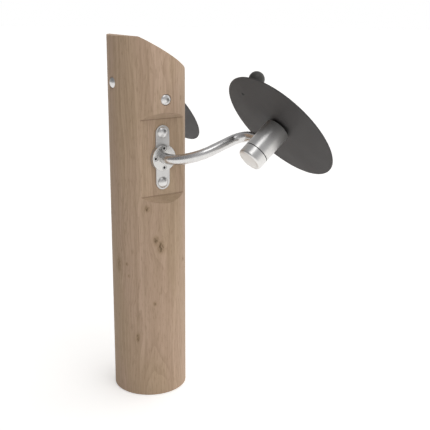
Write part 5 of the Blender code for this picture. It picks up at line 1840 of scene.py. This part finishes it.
def button_screw():
    """A button-head screw with a hexagon socket."""
    seat_at = clamp_face + SEAT_GAP
    tip = seat_at - CENTRE_SCREW_LENGTH
    top = seat_at + CENTRE_SCREW_HEAD_HEIGHT
    half = CENTRE_SCREW_KEY / 2
    rings = [
        ring(CENTRE_SCREW_RADIUS - CENTRE_SCREW_POINT, tip, SCREW_SIDES),
        ring(CENTRE_SCREW_RADIUS, tip + CENTRE_SCREW_POINT, SCREW_SIDES),
        ring(CENTRE_SCREW_RADIUS, seat_at, SCREW_SIDES),
        ring(CENTRE_SCREW_HEAD_RADIUS, seat_at, SCREW_SIDES),
        ring(CENTRE_SCREW_HEAD_RADIUS, seat_at + CENTRE_SCREW_HEAD_RIM, SCREW_SIDES),
    ]
    for step in range(1, CENTRE_SCREW_STEPS + 1):
        angle = CENTRE_SCREW_DOME * step / CENTRE_SCREW_STEPS
        rise = CENTRE_SCREW_HEAD_HEIGHT * math.sin(angle) / math.sin(CENTRE_SCREW_DOME)
        rings.append(ring(CENTRE_SCREW_HEAD_RADIUS * math.cos(angle), seat_at + rise, SCREW_SIDES))
    rings.append(ring(half + KEY_MOUTH, top, SCREW_SIDES))
    rings.append(ring(half, top - KEY_MOUTH, SCREW_SIDES, 6))
    rings.append(ring(half, top - KEY_DEPTH_SHARE * CENTRE_SCREW_HEAD_HEIGHT, SCREW_SIDES, 6))
    return creased(work_object(skinned(rings)))


for label, hub in HUBS.items():
    body = "disc_" + label
    clamp = work_object(turned(soften(clamp_profile, CLAMP_SOFTENING)))
    settle(clamp, "clamp_plate_" + label, hub, BRUSHED_HUB, STEEL_SLOT, body, "disc_clamp_" + label)
    name = "button_screw_" + label
    settle(button_screw(), name, hub, BRIGHT_FASTENER, STEEL_SLOT, body, "centre_screw_" + label)

# %% [markdown]
# ## Knob
#
# The ball turns on a pin, so a hand can hold it still while the disc goes round. The stem has a foot on the
# disc, a shank and a pin with a small snap head, which sits in the ball's undercut bore.

# %% Knobs
KNOB_RADIUS = 0.0255
KNOB_CENTRE_FROM_DISC = 0.0633
KNOB_FLAT_RADIUS = 0.011
KNOB_BORE_DEPTH = 0.032
STEM_FOOT_RADIUS = 0.013
STEM_FOOT_THICKNESS = 0.004
STEM_RADIUS = 0.0085
STEM_PIN_RADIUS = 0.006
STEM_SNAP_RADIUS = 0.0072
STEM_SNAP_LENGTH = 0.004
KNOB_SCREW_KEY = 0.004
KNOB_SCREW_POINT = 0.0005
KNOB_KEY_MOUTH = 0.0004
KNOB_SCREW_BREAK = 0.0002
BALL_EDGE = 0.0012
BALL_STEPS = 40
STEM_EDGE = 0.0004
STEM_SIDES = 64
knob_centre = DISC_THICKNESS + KNOB_CENTRE_FROM_DISC
knob_flat = knob_centre - math.sqrt(KNOB_RADIUS**2 - KNOB_FLAT_RADIUS**2)
knob_bore_top = knob_flat + KNOB_BORE_DEPTH
stem_top = knob_bore_top - SEAT_GAP
snap_start = stem_top - STEM_SNAP_LENGTH

lip = snap_start - RUNNING_GAP
ball_profile = [
    (0, knob_bore_top),
    (STEM_SNAP_RADIUS + RUNNING_GAP, knob_bore_top),
    (STEM_SNAP_RADIUS + RUNNING_GAP, lip),
    (STEM_PIN_RADIUS + RUNNING_GAP, lip),
    (STEM_PIN_RADIUS + RUNNING_GAP, knob_flat),
]
ball_start = -math.acos(KNOB_FLAT_RADIUS / KNOB_RADIUS)
for step in range(BALL_STEPS + 1):
    angle = ball_start + (math.pi / 2 - ball_start) * step / BALL_STEPS
    ball_profile.append((KNOB_RADIUS * math.cos(angle), knob_centre + KNOB_RADIUS * math.sin(angle)))
ball_profile[-1] = (0, knob_centre + KNOB_RADIUS)

screw_hole = KNOB_SCREW_RADIUS + SEAT_GAP
stem_foot_top = disc_face + STEM_FOOT_THICKNESS
stem_profile = [
    (0, KNOB_SCREW_LENGTH + DRILL_PAST),
    (screw_hole, KNOB_SCREW_LENGTH + DRILL_PAST),
    (screw_hole, disc_face),
    (STEM_FOOT_RADIUS, disc_face),
    (STEM_FOOT_RADIUS, stem_foot_top),
    (STEM_RADIUS, stem_foot_top),
    (STEM_RADIUS, knob_flat - SEAT_GAP),
    (STEM_PIN_RADIUS, knob_flat - SEAT_GAP),
    (STEM_PIN_RADIUS, snap_start),
    (STEM_SNAP_RADIUS, snap_start),
    (STEM_PIN_RADIUS, stem_top),
    (0, stem_top),
]


def knob_screw():
    """Countersunk screw with a hexagon socket, its head flush with the disc's back."""
    half = KNOB_SCREW_KEY / 2
    rings = [
        ring(half * 0.5, KEY_DEPTH_SHARE * cone_depth + KNOB_KEY_MOUTH, SCREW_SIDES),
        ring(half, KEY_DEPTH_SHARE * cone_depth, SCREW_SIDES, 6),
        ring(half, KNOB_SCREW_BREAK, SCREW_SIDES, 6),
        ring(half + KNOB_KEY_MOUTH, 0, SCREW_SIDES),
        ring(KNOB_SCREW_HEAD_RADIUS - KNOB_SCREW_BREAK, 0, SCREW_SIDES),
        ring(KNOB_SCREW_HEAD_RADIUS, KNOB_SCREW_HEAD_RIM, SCREW_SIDES),
        ring(KNOB_SCREW_RADIUS, cone_depth, SCREW_SIDES),
        ring(KNOB_SCREW_RADIUS, KNOB_SCREW_LENGTH - KNOB_SCREW_POINT, SCREW_SIDES),
        ring(KNOB_SCREW_RADIUS - KNOB_SCREW_POINT, KNOB_SCREW_LENGTH, SCREW_SIDES),
    ]
    return creased(work_object(skinned(rings)))


for label, side in SIDES:
    place = HUBS[label] @ knob_spot(side)
    body = "disc_" + label
    ball = work_object(turned(soften(ball_profile, BALL_EDGE)))
    name = "ball_knob_" + label
    settle(ball, name, place, KNOB_PLASTIC, PLASTIC_SLOT, "knob_" + label, "knob_ball_" + label)
    stem = work_object(turned(soften(stem_profile, STEM_EDGE), STEM_SIDES))
    settle(stem, "stem_" + label, place, BRUSHED_HUB, STEEL_SLOT, body, "knob_stem_" + label)
    settle(knob_screw(), "black_screw_" + label, place, BLACK_SCREW, BLACK_SLOT, body, "knob_screw_" + label)
